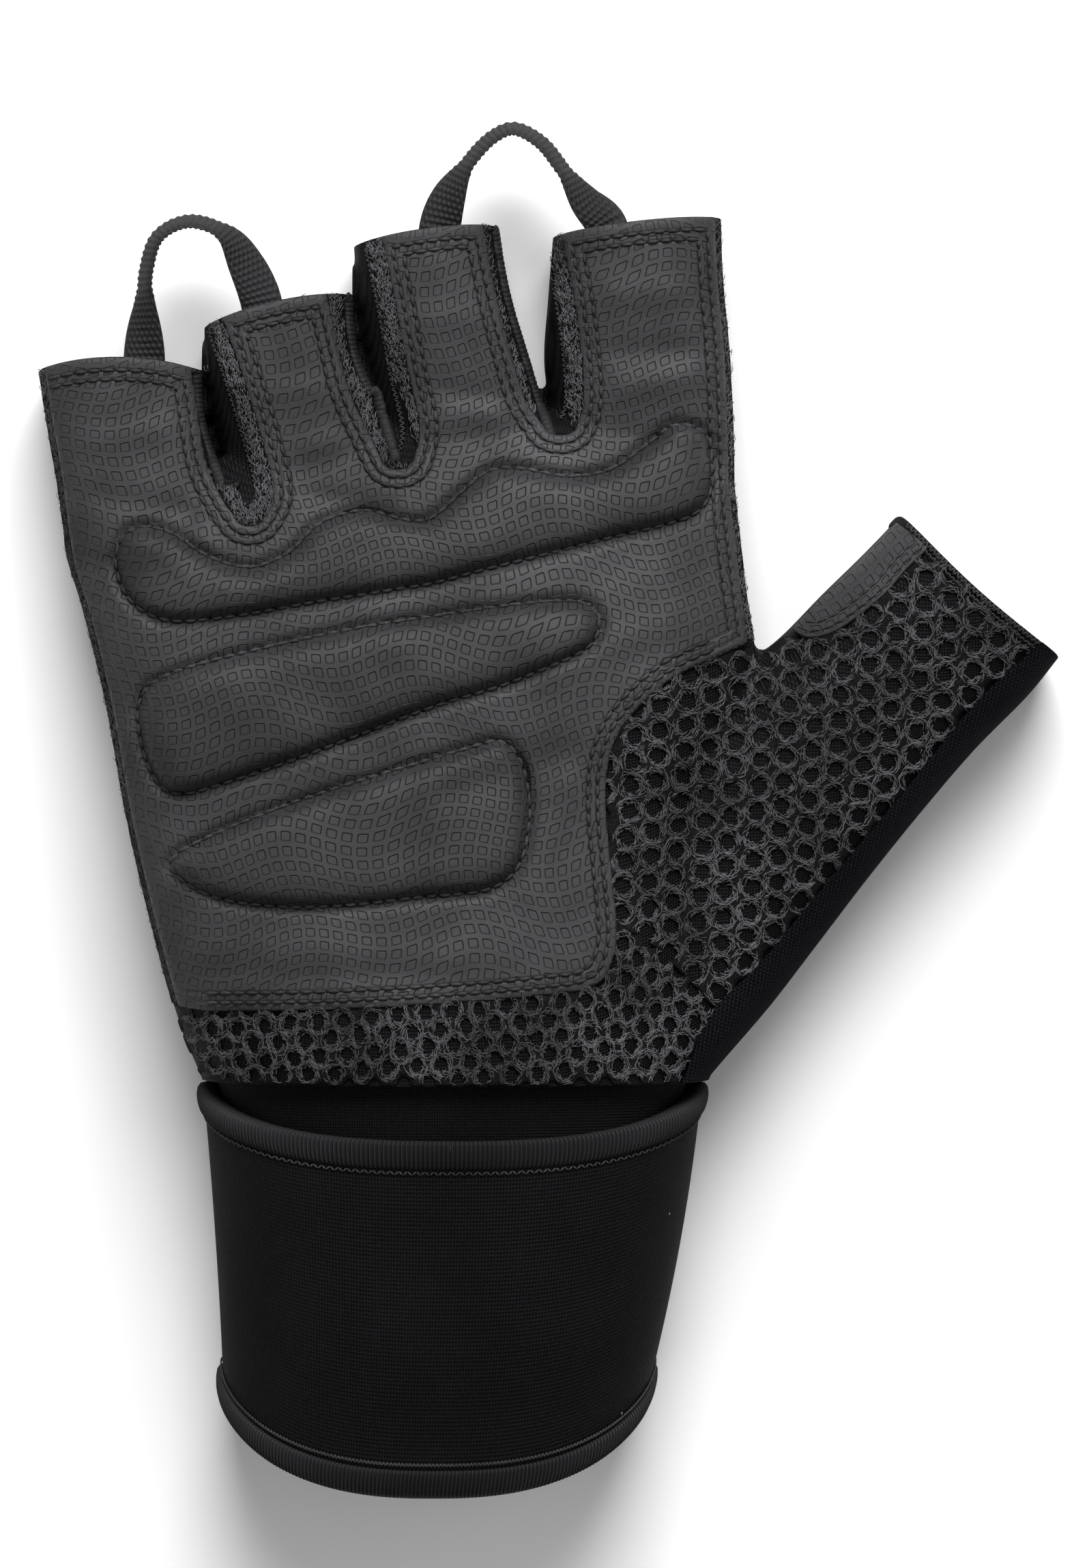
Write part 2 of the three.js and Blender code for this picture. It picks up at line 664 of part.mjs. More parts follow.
// The thumb's coarse net: staggered six-sided holes, cut through its front wherever they clear its edges.
const netOutline = [
  ...patchEdge.slice(1).map(onThumb),
  onThumb({ x: thumbRows[4].inner, y: thumbRows[4].innerAlong }),
  ...thumbSeam.slice(0, 8).map(onPalm),
  ...heelSeam.slice(1, 3).map(onPalm),
  ...bandSeam.slice(0, 5).reverse().map(onThumb),
];
function netHoles() {
  const box = new THREE.Box2().setFromPoints(netOutline);
  const rowStep = netPitch * Math.sin(Math.PI / 3);
  const keepOff = netHole / 2 + netEdge;
  const holes = [];
  for (let row = 0; box.min.y + row * rowStep < box.max.y; row += 1) {
    for (let x = box.min.x + ((row % 2) * netPitch) / 2; x < box.max.x; x += netPitch) {
      const centre = new THREE.Vector2(x, box.min.y + row * rowStep);
      const fromMouth = mouth[0][0].clone().sub(centre).dot(mouthOut);
      if (clearance(centre, netOutline) < keepOff || fromMouth < thumbRimWidth + keepOff) continue;
      const corners = [0, 1, 2, 3, 4, 5].map((k) => (
        new THREE.Vector2(netHole / 2, 0).rotateAround(new THREE.Vector2(), (k * Math.PI) / 3).add(centre)
      ));
      holes.push(prism(corners, seamHeight, prismTop));
    }
  }
  return joined(holes);
}
const thumbSolid = thumbNet.subtract(netHoles());

// The side walls fall apart into the outer strip, the three slot walls and the index side.
const rowMiddle = (row) => (row.left + row.right) / 2;
const fingerMiddle = fingers.map(({ rows }) => (rowMiddle(rows[2]) + rowMiddle(rows[4])) / 2);
const outerRegion = [
  { x: -2, y: -1 },
  { x: 0, y: -1 },
  { x: 0, y: slots[0].bottom - 0.25 },
  { x: fingerMiddle[0], y: slots[0].bottom - 0.15 },
  { x: fingerMiddle[0], y: 2 },
  { x: -2, y: 2 },
];
const slotRegion = (k) => [
  { x: fingerMiddle[k], y: slots[k].bottom - 0.15 },
  { x: fingerMiddle[k + 1], y: slots[k].bottom - 0.15 },
  { x: fingerMiddle[k + 1], y: 2 },
  { x: fingerMiddle[k], y: 2 },
];
const indexRegion = [
  { x: fingerMiddle[3], y: crotchAlong - 0.15 },
  { x: 2, y: crotchAlong - 0.15 },
  { x: 2, y: 2 },
  { x: fingerMiddle[3], y: 2 },
];
const wallIn = (region) => sideWalls.intersect(prism(region.map(onPalm)));
const gussets = {
  gusset_outer: wallIn(outerRegion),
  ...Object.fromEntries(slots.map((slot, k) => [`gusset_${slot.name}`, wallIn(slotRegion(k))])),
  gusset_index_side: wallIn(indexRegion),
};

// Domed pad draped over the hand: rows across the palm,
// each with a few points from its lower to its upper edge.
const bothSides = new THREE.MeshBasicMaterial({ side: THREE.DoubleSide });
const surfaceMesh = new THREE.Mesh(toGeometry(outerHand), bothSides);
surfaceMesh.updateMatrixWorld();
const caster = new THREE.Raycaster();
function surfaceHeight(x, y) {
  caster.set(new THREE.Vector3(x, y, prismTop), new THREE.Vector3(0, 0, -1));
  const hit = caster.intersectObject(surfaceMesh)[0];
  return hit ? hit.point.z : seamHeight;
}

const padSteps = 6;
function drapedPad(pad) {
  const { rows } = pad;
  const rings = rows.map((row) => {
    const middle = ((row.top + row.bottom) / 2) * palmLength;
    const half = ((row.top - row.bottom) / 2) * palmLength;
    const ends = Math.min(row.x - rows[0].x, rows[rows.length - 1].x - row.x) * palmWidth;
    const upper = [];
    const lower = [];
    for (let step = 0; step <= padSteps; step += 1) {
      const across = -Math.cos((Math.PI * step) / padSteps);
      const x = row.x * palmWidth;
      const y = middle + half * across;
      const inside = Math.min(ends, half * (1 - Math.abs(across)));
      const dome = Math.sqrt(1 - (1 - Math.min(1, inside / padShoulder)) ** 2);
      const z = surfaceHeight(x, y);
      const edge = 0.25 * padRise;
      upper.push(new THREE.Vector3(x, y, z + seamGap + edge + (padRise - edge) * dome));
      lower.push(new THREE.Vector3(x, y, z - bodyWall));
    }
    return [...upper, ...lower.reverse()];
  });
  return toSolid(loftGeometry(rings)).subtract(padBed);
}

// Wrist: rings that follow the same sides, down is a share of the cuff length.
const cuffLift = closureThickness + seamGap;
const wristMiddle = ((palmRows[0].left + palmRows[0].right) / 2) * palmWidth;
const cuffEndDrift = -2.8;
function cuffRow(down, grow) {
  const middle = wristMiddle + cuffEndDrift * down ** 2;
  const half = mix(wristWidth, cuffEndWidth, down) / 2 + grow;
  const y = -seamGap * 2 - cuffLength * down;
  return {
    left: new THREE.Vector2(middle - half, y),
    right: new THREE.Vector2(middle + half, y),
    top: mix(wristDepth, cuffEndDepth, down) + grow,
    sag: mix(topRimSag, endRimSag, down),
    square: wristSquare,
    floor: cuffLift - grow,
  };
}

function cuffRing(from, to, outside, inside, steps) {
  const downs = Array.from({ length: steps + 1 }, (_, i) => mix(from, to, i / steps));
  const past = openReach / cuffLength;
  const outer = downs.map((down) => cuffRow(down, outside));
  const inner = [from - past, ...downs, to + past].map((down) => cuffRow(down, inside));
  return loft(outer, cuffSides, 0).subtract(loft(inner, cuffSides, 0));
}

const bindingShare = bindingWidth / cuffLength;
const gapShare = seamGap / cuffLength;
const strapSolid = cuffRing(bindingShare + gapShare, 1 - bindingShare - gapShare, 0, -strapWall, 2);
const topBinding = cuffRing(0, bindingShare, bindingSwell, -strapWall, 1);
const endBinding = cuffRing(1 - bindingShare, 1, bindingSwell, -strapWall, 1);

// Collar: a sleeve from inside the heel down into the strap.
function collarSolid() {
  const outside = -strapWall - seamGap;
  const place = (y) => {
    const row = cuffRow(Math.max(0, -y / cuffLength), outside);
    row.left.y = y;
    row.right.y = y;
    row.sag = 0;
    return row;
  };
  const shrink = (row) => ({
    ...row,
    left: row.left.clone().add(new THREE.Vector2(collarWall, 0)),
    right: row.right.clone().sub(new THREE.Vector2(collarWall, 0)),
    top: row.top - collarWall,
    floor: row.floor + collarWall,
  });
  const levels = [collarTuck, 0, -collarLength / 2, -collarLength];
  const outer = loft(levels.map(place), cuffSides, 0);
  const through = [collarTuck + openReach, ...levels, -collarLength - openReach];
  return outer.subtract(loft(through.map(place).map(shrink), cuffSides, 0));
}

// Closure: the end of the wrap, flat against its back.
function closureSolid() {
  const right = wristMiddle + closureWidth / 2;
  const top = -bindingWidth - 4 * seamGap;
  const radius = closureWidth / 6;
  const shape = new THREE.Shape();
  shape.moveTo(right - closureWidth, top);
  shape.lineTo(right - radius, top);
  shape.absarc(right - radius, top - radius, radius, Math.PI / 2, 0, true);
  shape.lineTo(right, top - closureLength + radius);
  shape.absarc(right - radius, top - closureLength + radius, radius, 0, -Math.PI / 2, true);
  shape.lineTo(right - closureWidth, top - closureLength);
  return new THREE.ExtrudeGeometry(shape, { depth: closureThickness, bevelEnabled: false, curveSegments: 6 });
}

// Pull loops. across is a share of the way between the two hems, up a share of the loop's height,
// turn runs from a ribbon that lies flat, 0, to one that stands on edge, 1.
const loops = [
  {
    name: 'loop_pinky_ring', first: 0, second: 1, height: loopPinkyRingHeight, leave: 0.66, arrive: 0.4,
    route: [
      { across: 0, up: 0, turn: 0 },
      { across: 0, up: 0.36, turn: 0.55 },
      { across: 0.02, up: 0.66, turn: 0.95 },
      { across: 0.12, up: 0.89, turn: 1 },
      { across: 0.38, up: 1, turn: 1 },
      { across: 0.7, up: 0.87, turn: 0.65 },
      { across: 0.87, up: 0.52, turn: 0.3 },
      { across: 1, up: 0, turn: 0 },
    ],
  },
  {
    name: 'loop_middle_index', first: 2, second: 3, height: loopMiddleIndexHeight, leave: 0.6, arrive: 0.32,
    route: [
      { across: 0, up: 0, turn: 0 },
      { across: 0.065, up: 0.37, turn: 0.4 },
      { across: 0.185, up: 0.69, turn: 0.85 },
      { across: 0.32, up: 0.92, turn: 1 },
      { across: 0.44, up: 1, turn: 1 },
      { across: 0.6, up: 0.87, turn: 1 },
      { across: 0.74, up: 0.58, turn: 0.8 },
      { across: 0.87, up: 0.27, turn: 0.4 },
      { across: 1, up: 0, turn: 0 },
    ],
  },
];

// Where a ribbon leaves a finger: just under the leather, at a share of the hem's width.
function loopFoot(k, share) {
  const row = fingerRow(fingers[k], fingers[k].rows[4]);
  const plan = row.left.clone().lerp(row.right, share);
  const bow = row.bow * (1 - (2 * share - 1) ** 2);
  const half = row.left.distanceTo(row.right) / 2 - bodyWall;
  const off = Math.abs(2 * share - 1) + loopWidth / 2 / half;
  const lining = (row.top - bodyWall - seamHeight) * (1 - off ** fingerSquare) ** (1 / fingerSquare);
  return new THREE.Vector3(plan.x, plan.y + bow, seamHeight + lining - 3 * seamGap - loopThickness / 2);
}

const loopSteps = 3;
function loopGeometry(loop) {
  const start = loopFoot(loop.first, loop.leave);
  const end = loopFoot(loop.second, loop.arrive);
  const crown = Math.max(start.y, end.y) + loop.height;
  const tuck = new THREE.Vector3(0, -loopTuck, 0);
  const points = loop.route.map((row) => {
    const point = start.clone().lerp(end, row.across);
    point.y = mix(point.y, crown, row.up);
    return point;
  });
  const path = new THREE.CatmullRomCurve3([start.clone().add(tuck), ...points, end.clone().add(tuck)]);
  const turns = [0, ...loop.route.map((row) => row.turn), 0];
  const up = new THREE.Vector3(0, 0, 1);
  const rings = [];
  const last = (turns.length - 1) * loopSteps;
  for (let step = 0; step <= last; step += 1) {
    const point = path.getPoint(step / last);
    const tangent = path.getTangent(step / last);
    const here = Math.min(Math.floor(step / loopSteps), turns.length - 2);
    const turn = mix(turns[here], turns[here + 1], step / loopSteps - here) * (Math.PI / 2);
    const flat = new THREE.Vector3().crossVectors(tangent, up).normalize();
    const across = flat.multiplyScalar(Math.cos(turn)).addScaledVector(up, Math.sin(turn));
    const through = new THREE.Vector3().crossVectors(tangent, across).normalize();
    across.multiplyScalar(loopWidth / 2);
    through.multiplyScalar(loopThickness / 2);
    rings.push([[-1, -1], [1, -1], [1, 1], [-1, 1]].map(([w, t]) => (
      point.clone().addScaledVector(across, w).addScaledVector(through, t)
    )));
  }
  return loftGeometry(rings);
}

// Materials, one for each kind of cloth
const cloth = (color, roughness) => new THREE.MeshStandardMaterial({ color, roughness, metalness: 0 });
const leatherCloth = () => cloth(0x343436, 0.55);
const padCloth = () => cloth(0x3a3a3d, 0.55);
const meshCloth = () => cloth(0x26272b, 0.95);
const knitCloth = () => cloth(0x17171a, 0.8);
const fleeceCloth = () => cloth(0x1d2026, 1);
const strapCloth = () => cloth(0x101013, 0.85);
const bindingCloth = () => cloth(0x1e1e21, 0.9);
const webbingCloth = () => cloth(0x202022, 0.9);

function piece(name, geometry, material) {
  const mesh = new THREE.Mesh(geometry, material);
  mesh.name = name;
  return mesh;
}

const glove = new THREE.Group();
glove.add(piece('palm_panel', toGeometry(palmSolid), leatherCloth()));
for (const pad of pads) glove.add(piece(pad.name, toGeometry(drapedPad(pad)), padCloth()));
glove.add(piece('back_panel', toGeometry(backSolid), knitCloth()));
for (const [name, solid] of Object.entries(gussets)) glove.add(piece(name, toGeometry(solid), meshCloth()));
glove.add(piece('thumb_mesh', toGeometry(thumbSolid), meshCloth()));
glove.add(piece('thumb_patch', toGeometry(patchSolid), leatherCloth()));
glove.add(piece('thumb_rim', toGeometry(rimSolid), meshCloth()));
glove.add(piece('thumb_band', toGeometry(bandSolid), fleeceCloth()));
glove.add(piece('heel_mesh', toGeometry(heelSolid), meshCloth()));
glove.add(piece('wrist_collar', toGeometry(collarSolid()), strapCloth()));
glove.add(piece('wrist_strap', toGeometry(strapSolid), strapCloth()));
glove.add(piece('strap_binding_top', toGeometry(topBinding), bindingCloth()));
glove.add(piece('strap_binding_bottom', toGeometry(endBinding), bindingCloth()));
glove.add(piece('strap_closure', closureSolid(), strapCloth()));
for (const loop of loops) glove.add(piece(loop.name, loopGeometry(loop), webbingCloth()));

// The origin is the middle of the underside of the whole glove's box.
const bounds = new THREE.Box3().setFromObject(glove);
const middle = bounds.getCenter(new THREE.Vector3());
glove.position.set(-middle.x, -middle.y, -bounds.min.z);

export default glove;
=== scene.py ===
import functools
import math

import bpy
import numpy as np
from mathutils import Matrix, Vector
from mathutils.bvhtree import BVHTree


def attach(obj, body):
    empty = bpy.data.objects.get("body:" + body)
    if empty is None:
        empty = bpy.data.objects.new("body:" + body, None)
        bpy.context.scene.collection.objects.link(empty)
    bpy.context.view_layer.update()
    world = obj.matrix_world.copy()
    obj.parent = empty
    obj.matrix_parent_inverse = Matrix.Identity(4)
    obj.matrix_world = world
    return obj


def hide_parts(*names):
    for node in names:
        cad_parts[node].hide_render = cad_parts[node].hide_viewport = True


bl_info = {
    "name": "Weightlifting glove",
    "version": (1, 0, 0),
    "blender": (4, 5, 0),
    "location": "View3D > Sidebar > Glove",
    "description": "Builds the soft pieces of a fingerless weightlifting glove over its solids",
    "category": "Object",
}

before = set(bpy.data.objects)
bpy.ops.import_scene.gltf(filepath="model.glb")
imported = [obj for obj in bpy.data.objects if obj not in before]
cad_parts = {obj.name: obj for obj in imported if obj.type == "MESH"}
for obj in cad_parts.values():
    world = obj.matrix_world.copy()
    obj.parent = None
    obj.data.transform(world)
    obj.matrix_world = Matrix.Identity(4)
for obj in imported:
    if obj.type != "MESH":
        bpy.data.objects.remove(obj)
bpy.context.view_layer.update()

# Lengths are in millimetres in the hand's own frame: y = 0 at the wrist line, z = 0 at the flat back.
# ORIGIN moves them into the frame of the solids.
MM = 0.001
ORIGIN = np.array([-26.504, -43.665, 0.0])

PALM_WIDTH = 110.0
PALM_LENGTH = 96.0
THUMB_REACH = 108.0
WRIST_DEPTH = 38.0
PALM_DEPTH = 31.0
FINGER_DEPTH = 21.0
THUMB_DEPTH = 27.0
SEAM_HEIGHT = 10.0
BACK_SINK = 2.5
WRIST_WIDTH = 80.0
CUFF_END_WIDTH = 67.8
CUFF_END_DEPTH = 34.0
CUFF_LENGTH = 49.0
TOP_RIM_SAG = 8.0
END_RIM_SAG = 15.0
SAG_POWER = 1.5
STRAP_WALL = 2.2
BINDING_WIDTH = 3.8
CLOSURE_THICKNESS = 2.0
CLOSURE_WIDTH = 46.0
CLOSURE_LENGTH = 38.0
CUFF_LIFT = 2.3
CUFF_END_DRIFT = -2.8
BODY_WALL = 1.8
SEAM_GAP = 0.3
LOOP_WIDTH = 6.6
LOOP_THICKNESS = 1.4
LOOP_TUCK = 6.0
FINGER_SQUARE = 3.0
THUMB_SQUARE = 2.7
WRIST_SQUARE = 2.5
PALM_SQUARE = 4.6

# Palm tube: left, its place, right, its place, depth, roundness and bow.
PALM_ROWS = [
    (-0.259, 0.0, 0.468, 0.0, 1.0, 0, 0),
    (-0.292, 0.095, 0.475, 0.1, 1.0, 0.2, 0),
    (-0.326, 0.24, 0.47, 0.26, 1.0, 0.5, 0),
    (-0.364, 0.423, 0.475, 0.455, 1.0, 0.8, 0),
    (-0.395, 0.62, 0.54, 0.66, 1.0, 1, 0.01),
    (-0.428, 0.77, 0.529, 0.82, 1.0, 1, 0.03),
    (-0.453, 0.86, 0.515, 0.97, 0.98, 1, 0.06),
    (-0.458, 0.905, 0.512, 1.05, 0.86, 1, 0.065),
    (-0.455, 0.955, 0.5, 1.085, 0.62, 0.8, 0.07),
]

# Finger tubes: base, length, tilt and bow, then rows of along, left, right and rise.
FINGERS = {
    "pinky": (0.898, 26.7, 0.0, 1.8, [
        (-0.55, -0.418, -0.18, 0.62), (-0.1, -0.452, -0.186, 0.93), (0.35, -0.47, -0.227, 1),
        (0.7, -0.485, -0.254, 1), (1, -0.496, -0.261, 0.97)]),
    "ring": (0.96, 30.2, 5.2, 1.2, [
        (-0.55, -0.165, 0.055, 0.62), (-0.1, -0.198, 0.046, 0.93), (0.35, -0.234, 0.013, 1),
        (0.7, -0.253, -0.032, 1), (1, -0.256, -0.042, 0.97)]),
    "middle": (1.04, 34.4, 3.2, 0.8, [
        (-0.55, 0.052, 0.268, 0.62), (-0.1, 0.022, 0.264, 0.93), (0.35, -0.014, 0.221, 1),
        (0.7, -0.033, 0.187, 1), (1, -0.039, 0.17, 0.97)]),
    "index": (1.063, 33.6, 3.0, 0.6, [
        (-0.55, 0.285, 0.505, 0.62), (-0.1, 0.262, 0.513, 0.93), (0.35, 0.238, 0.508, 1),
        (0.7, 0.243, 0.498, 1), (1, 0.25, 0.494, 0.97)]),
}

# Slots between the fingers: bottom, then rows of reach, left and right.
SLOTS = {
    "pinky_ring": (0.92, [(0, -0.205, -0.165), (0.12, -0.225, -0.151), (0.37, -0.25, -0.167),
                          (0.72, -0.263, -0.197), (1, -0.273, -0.225)]),
    "ring_middle": (1.015, [(0, 0.004, 0.05), (0.15, -0.014, 0.058), (0.4, -0.043, 0.041),
                            (0.72, -0.063, 0.022), (1, -0.078, 0.003)]),
    "middle_index": (1.073, [(0, 0.236, 0.285), (0.12, 0.211, 0.294), (0.35, 0.19, 0.291),
                             (0.65, 0.167, 0.28), (1, 0.147, 0.26)]),
}

# Thumb tube: inner edge, its place, outer edge, its place, and rise.
THUMB_ROWS = [
    (0.768, 0.935, 0.996, 0.704, 0.97), (0.715, 0.873, 0.95, 0.64, 1), (0.653, 0.805, 0.871, 0.55, 1),
    (0.583, 0.726, 0.787, 0.439, 1), (0.5, 0.66, 0.713, 0.335, 1), (0.41, 0.56, 0.645, 0.235, 0.98),
    (0.35, 0.38, 0.573, 0.13, 0.95), (0.29, 0.17, 0.508, 0.045, 0.92), (0.27, 0.02, 0.477, 0.003, 0.88),
]

# Seams in plan, in shares of the palm width (or thumb reach) and the palm length.
THUMB_SEAM = [(0.483, 0.697), (0.426, 0.667), (0.381, 0.625), (0.345, 0.576), (0.328, 0.52), (0.325, 0.45),
              (0.333, 0.348), (0.34, 0.263), (0.337, 0.215), (0.32, 0.172), (0.283, 0.153)]
HEEL_EDGE = [(0.141, 0.138), (-0.058, 0.125), (-0.244, 0.12)]
HEEL_SEAM = [(0.341, 0.267), (0.403, 0.222), (0.483, 0.126), (0.54, 0.03), (0.54, -0.08)]
BAND_SEAM = [(0.99, 0.742), (0.878, 0.63), (0.766, 0.475), (0.645, 0.315), (0.556, 0.195), (0.484, 0.112),
             (0.43, -0.04)]
PATCH_EDGE = [(0.9, 0.97), (0.782, 0.858), (0.735, 0.8), (0.67, 0.745), (0.625, 0.733), (0.598, 0.755)]
OUTER_STRIP = 1.4
INDEX_STRIP = 1.1
HEEL_TOP = 0.126
CROTCH_ALONG = 0.722
CROTCH_ACROSS = 0.56
THUMB_RIM_WIDTH = 2.0

# Pads: place across the palm, upper and lower edge.
PADS = {
    "pad_upper": [
        (-0.378, 0.862, 0.855), (-0.366, 0.9, 0.809), (-0.337, 0.913, 0.774), (-0.296, 0.901, 0.758),
        (-0.248, 0.865, 0.76), (-0.186, 0.844, 0.769), (-0.128, 0.869, 0.781), (-0.084, 0.918, 0.79),
        (-0.022, 0.939, 0.801), (0.036, 0.923, 0.812), (0.076, 0.925, 0.819), (0.121, 0.971, 0.833),
        (0.163, 1.007, 0.846), (0.213, 1.007, 0.86), (0.27, 0.995, 0.877), (0.331, 1.006, 0.895),
        (0.384, 1.047, 0.909), (0.422, 1.081, 0.921), (0.449, 1.08, 0.932), (0.471, 1.065, 0.956),
        (0.482, 1.023, 1.005)],
    "pad_middle": [
        (-0.344, 0.612, 0.604), (-0.334, 0.644, 0.54), (-0.311, 0.662, 0.489), (-0.281, 0.676, 0.474),
        (-0.227, 0.694, 0.489), (-0.128, 0.721, 0.527), (-0.022, 0.746, 0.573), (0.081, 0.764, 0.618),
        (0.175, 0.78, 0.651), (0.254, 0.789, 0.687), (0.29, 0.787, 0.706), (0.308, 0.775, 0.723),
        (0.317, 0.755, 0.748)],
    "pad_lower": [
        (-0.296, 0.361, 0.353), (-0.284, 0.378, 0.34), (-0.257, 0.394, 0.319), (-0.213, 0.417, 0.301),
        (-0.127, 0.456, 0.291), (-0.038, 0.49, 0.294), (0.062, 0.525, 0.307), (0.141, 0.552, 0.315),
        (0.171, 0.561, 0.326), (0.193, 0.546, 0.344), (0.209, 0.511, 0.381), (0.217, 0.45, 0.442)],
}

# Pull loops: fingers, height, where they leave and arrive, then rows of across, up and turn.
LOOPS = {
    "pinky_ring": ("pinky", "ring", 13.5, 0.66, 0.4, [
        (0, 0, 0), (0, 0.36, 0.55), (0.02, 0.66, 0.95), (0.12, 0.89, 1), (0.38, 1, 1),
        (0.7, 0.87, 0.65), (0.87, 0.52, 0.3), (1, 0, 0)]),
    "middle_index": ("middle", "index", 15.6, 0.6, 0.32, [
        (0, 0, 0), (0.065, 0.37, 0.4), (0.185, 0.69, 0.85), (0.32, 0.92, 1), (0.44, 1, 1),
        (0.6, 0.87, 1), (0.74, 0.58, 0.8), (0.87, 0.27, 0.4), (1, 0, 0)]),
}

# Soft folds across the leather: two ends in plan, width and rise.
FOLDS = [
    (-48, 83, -27, 86, 2.6, 0.7), (-50, 93, -30, 90, 2.2, -0.5), (-47, 101, -29, 104, 2.4, 0.45),
    (-20, 98, -4, 102, 2.2, 0.5), (-17, 93, 1, 91, 2.0, -0.6), (-22, 108, -8, 110, 2.2, 0.35),
    (3, 104, 24, 106, 2.2, 0.55), (4, 110, 22, 108, 2.0, -0.4), (2, 120, 18, 121, 2.4, 0.35),
    (31, 108, 52, 112, 2.4, 0.6), (30, 115, 52, 116, 2.2, -0.45), (29, 124, 50, 125, 2.6, 0.4),
    (-44, 70, -38, 60, 2.4, -0.5), (-42, 62, -36, 74, 2.0, 0.4), (-34, 38, -27, 30, 2.4, 0.4),
    (28, 66, 45, 72, 3.0, 0.5), (12, 46, 30, 52, 3.2, -0.5), (24, 30, 30, 46, 2.6, 0.4),
    (-24, 22, 12, 20, 2.8, 0.35), (-30, 17, 20, 16.5, 2.0, -0.25),
]

GRID_STEP = 0.5
GRID_X = np.arange(-62.0, 114.0, GRID_STEP)
GRID_Y = np.arange(-6.0, 144.0, GRID_STEP)
PLAN_X, PLAN_Y = np.meshgrid(GRID_X, GRID_Y)
PRISM_TOP = 70.0
VOXEL = 0.8


# Shapes of the hand

def mix(a, b, t):
    return a + (b - a) * t


def smooth(value):
    value = np.clip(value, 0, 1)
    return value * value * (3 - 2 * value)


def signed_power(value, power):
    return np.sign(value) * np.abs(value) ** power


def front_height(y):
    to_palm = smooth(y / (0.6 * PALM_LENGTH))
    to_fingers = smooth((y / PALM_LENGTH - 0.55) / 0.55)
    return mix(mix(WRIST_DEPTH, PALM_DEPTH, to_palm), FINGER_DEPTH, to_fingers)


def spline(rows, steps):
    """Rows with steps between each two, on a Catmull-Rom curve."""
    rows = np.asarray(rows, float)
    fine = []
    for i in range(len(rows) - 1):
        p0, p1, p2, p3 = (rows[min(max(i + k, 0), len(rows) - 1)] for k in (-1, 0, 1, 2))
        v0 = (p2 - p0) / 2
        v1 = (p3 - p1) / 2
        for t in np.arange(steps) / steps:
            fine.append((2 * p1 - 2 * p2 + v0 + v1) * t**3 + (-3 * p1 + 3 * p2 - 2 * v0 - v1) * t**2 + v0 * t + p1)
    fine.append(rows[-1])
    return np.array(fine)


def section(row, angles, grow):
    """Points round one section. A row is left x and y, right x and y, top, square, bow, sag and floor."""
    left, right = row[0:2], row[2:4]
    top, square, bow, sag, floor = row[4:9]
    across = (right - left) / np.linalg.norm(right - left)
    left, right = left - across * grow, right + across * grow
    along = signed_power(np.cos(angles), 2 / square)
    lift = signed_power(np.sin(angles), 2 / square)
    plan = left + (right - left) * ((1 + along) / 2)[:, None]
    above = top + grow - SEAM_HEIGHT
    below = SEAM_HEIGHT + BACK_SINK + grow
    z = np.maximum(SEAM_HEIGHT + lift * np.where(lift > 0, above, below), floor - grow)
    y = plan[:, 1] + bow * (1 - along**2) - sag * np.maximum(0, lift) ** SAG_POWER
    return np.column_stack([plan[:, 0], y, z])


def carried_on(rows, reach, at_start):
    end, after = (rows[0], rows[1]) if at_start else (rows[-1], rows[-2])
    way = (end[0:2] + end[2:4]) - (after[0:2] + after[2:4])
    way = way / np.linalg.norm(way)
    past = end.copy()
    past[0:2] += way * reach
    past[2:4] += way * reach
    return np.vstack([past, rows]) if at_start else np.vstack([rows, past])


def palm_rows():
    rows = []
    for left, left_at, right, right_at, depth, square, bow in PALM_ROWS:
        top = mix(SEAM_HEIGHT, front_height((left_at + right_at) / 2 * PALM_LENGTH), depth)
        rows.append((left * PALM_WIDTH, left_at * PALM_LENGTH, right * PALM_WIDTH, right_at * PALM_LENGTH,
                     top, mix(WRIST_SQUARE, PALM_SQUARE, square), bow * PALM_LENGTH, 0, 0))
    return np.array(rows, float)


def finger_rows(name):
    base, length, tilt, bow, rows = FINGERS[name]
    made = []
    for along, left, right, rise in rows:
        y = base * PALM_LENGTH + along * length
        lean = tilt * max(0, along) / 2
        made.append((left * PALM_WIDTH, y - lean, right * PALM_WIDTH, y + lean,
                     front_height(y) * rise, FINGER_SQUARE, bow * max(0, along), 0, 0))
    return np.array(made, float)


def thumb_rows():
    made = []
    for inner, inner_at, outer, outer_at, rise in THUMB_ROWS:
        a = np.array([inner * THUMB_REACH, inner_at * PALM_LENGTH])
        b = np.array([outer * THUMB_REACH, outer_at * PALM_LENGTH])
        to_wrist = smooth(1 - (a[0] + b[0]) / 2 / (0.8 * THUMB_REACH))
        height = mix(THUMB_DEPTH, front_height((a[1] + b[1]) / 2), to_wrist)
        made.append((*a, *b, height * rise, THUMB_SQUARE, 0, 0, 0))
    return np.array(made, float)


END_REACH = 4.0
TUBE_SIDES = 96


def tubes():
    """Rows of every tube of the hand, carried on past the open ends."""
    made = [carried_on(spline(palm_rows(), 6), END_REACH, True)]
    made += [carried_on(spline(finger_rows(name), 6), END_REACH, False) for name in FINGERS]
    thumb = carried_on(spline(thumb_rows(), 6), END_REACH, True)
    made.append(carried_on(thumb, END_REACH, False))
    return made


# Meshes

def grid_faces(rings, sides, closed_rings=False, closed_sides=True):
    r = np.arange(rings if closed_rings else rings - 1)
    s = np.arange(sides if closed_sides else sides - 1)
    r, s = np.meshgrid(r, s, indexing="ij")
    r2, s2 = (r + 1) % rings, (s + 1) % sides
    return np.stack([r * sides + s, r * sides + s2, r2 * sides + s2, r2 * sides + s], -1).reshape(-1, 4)


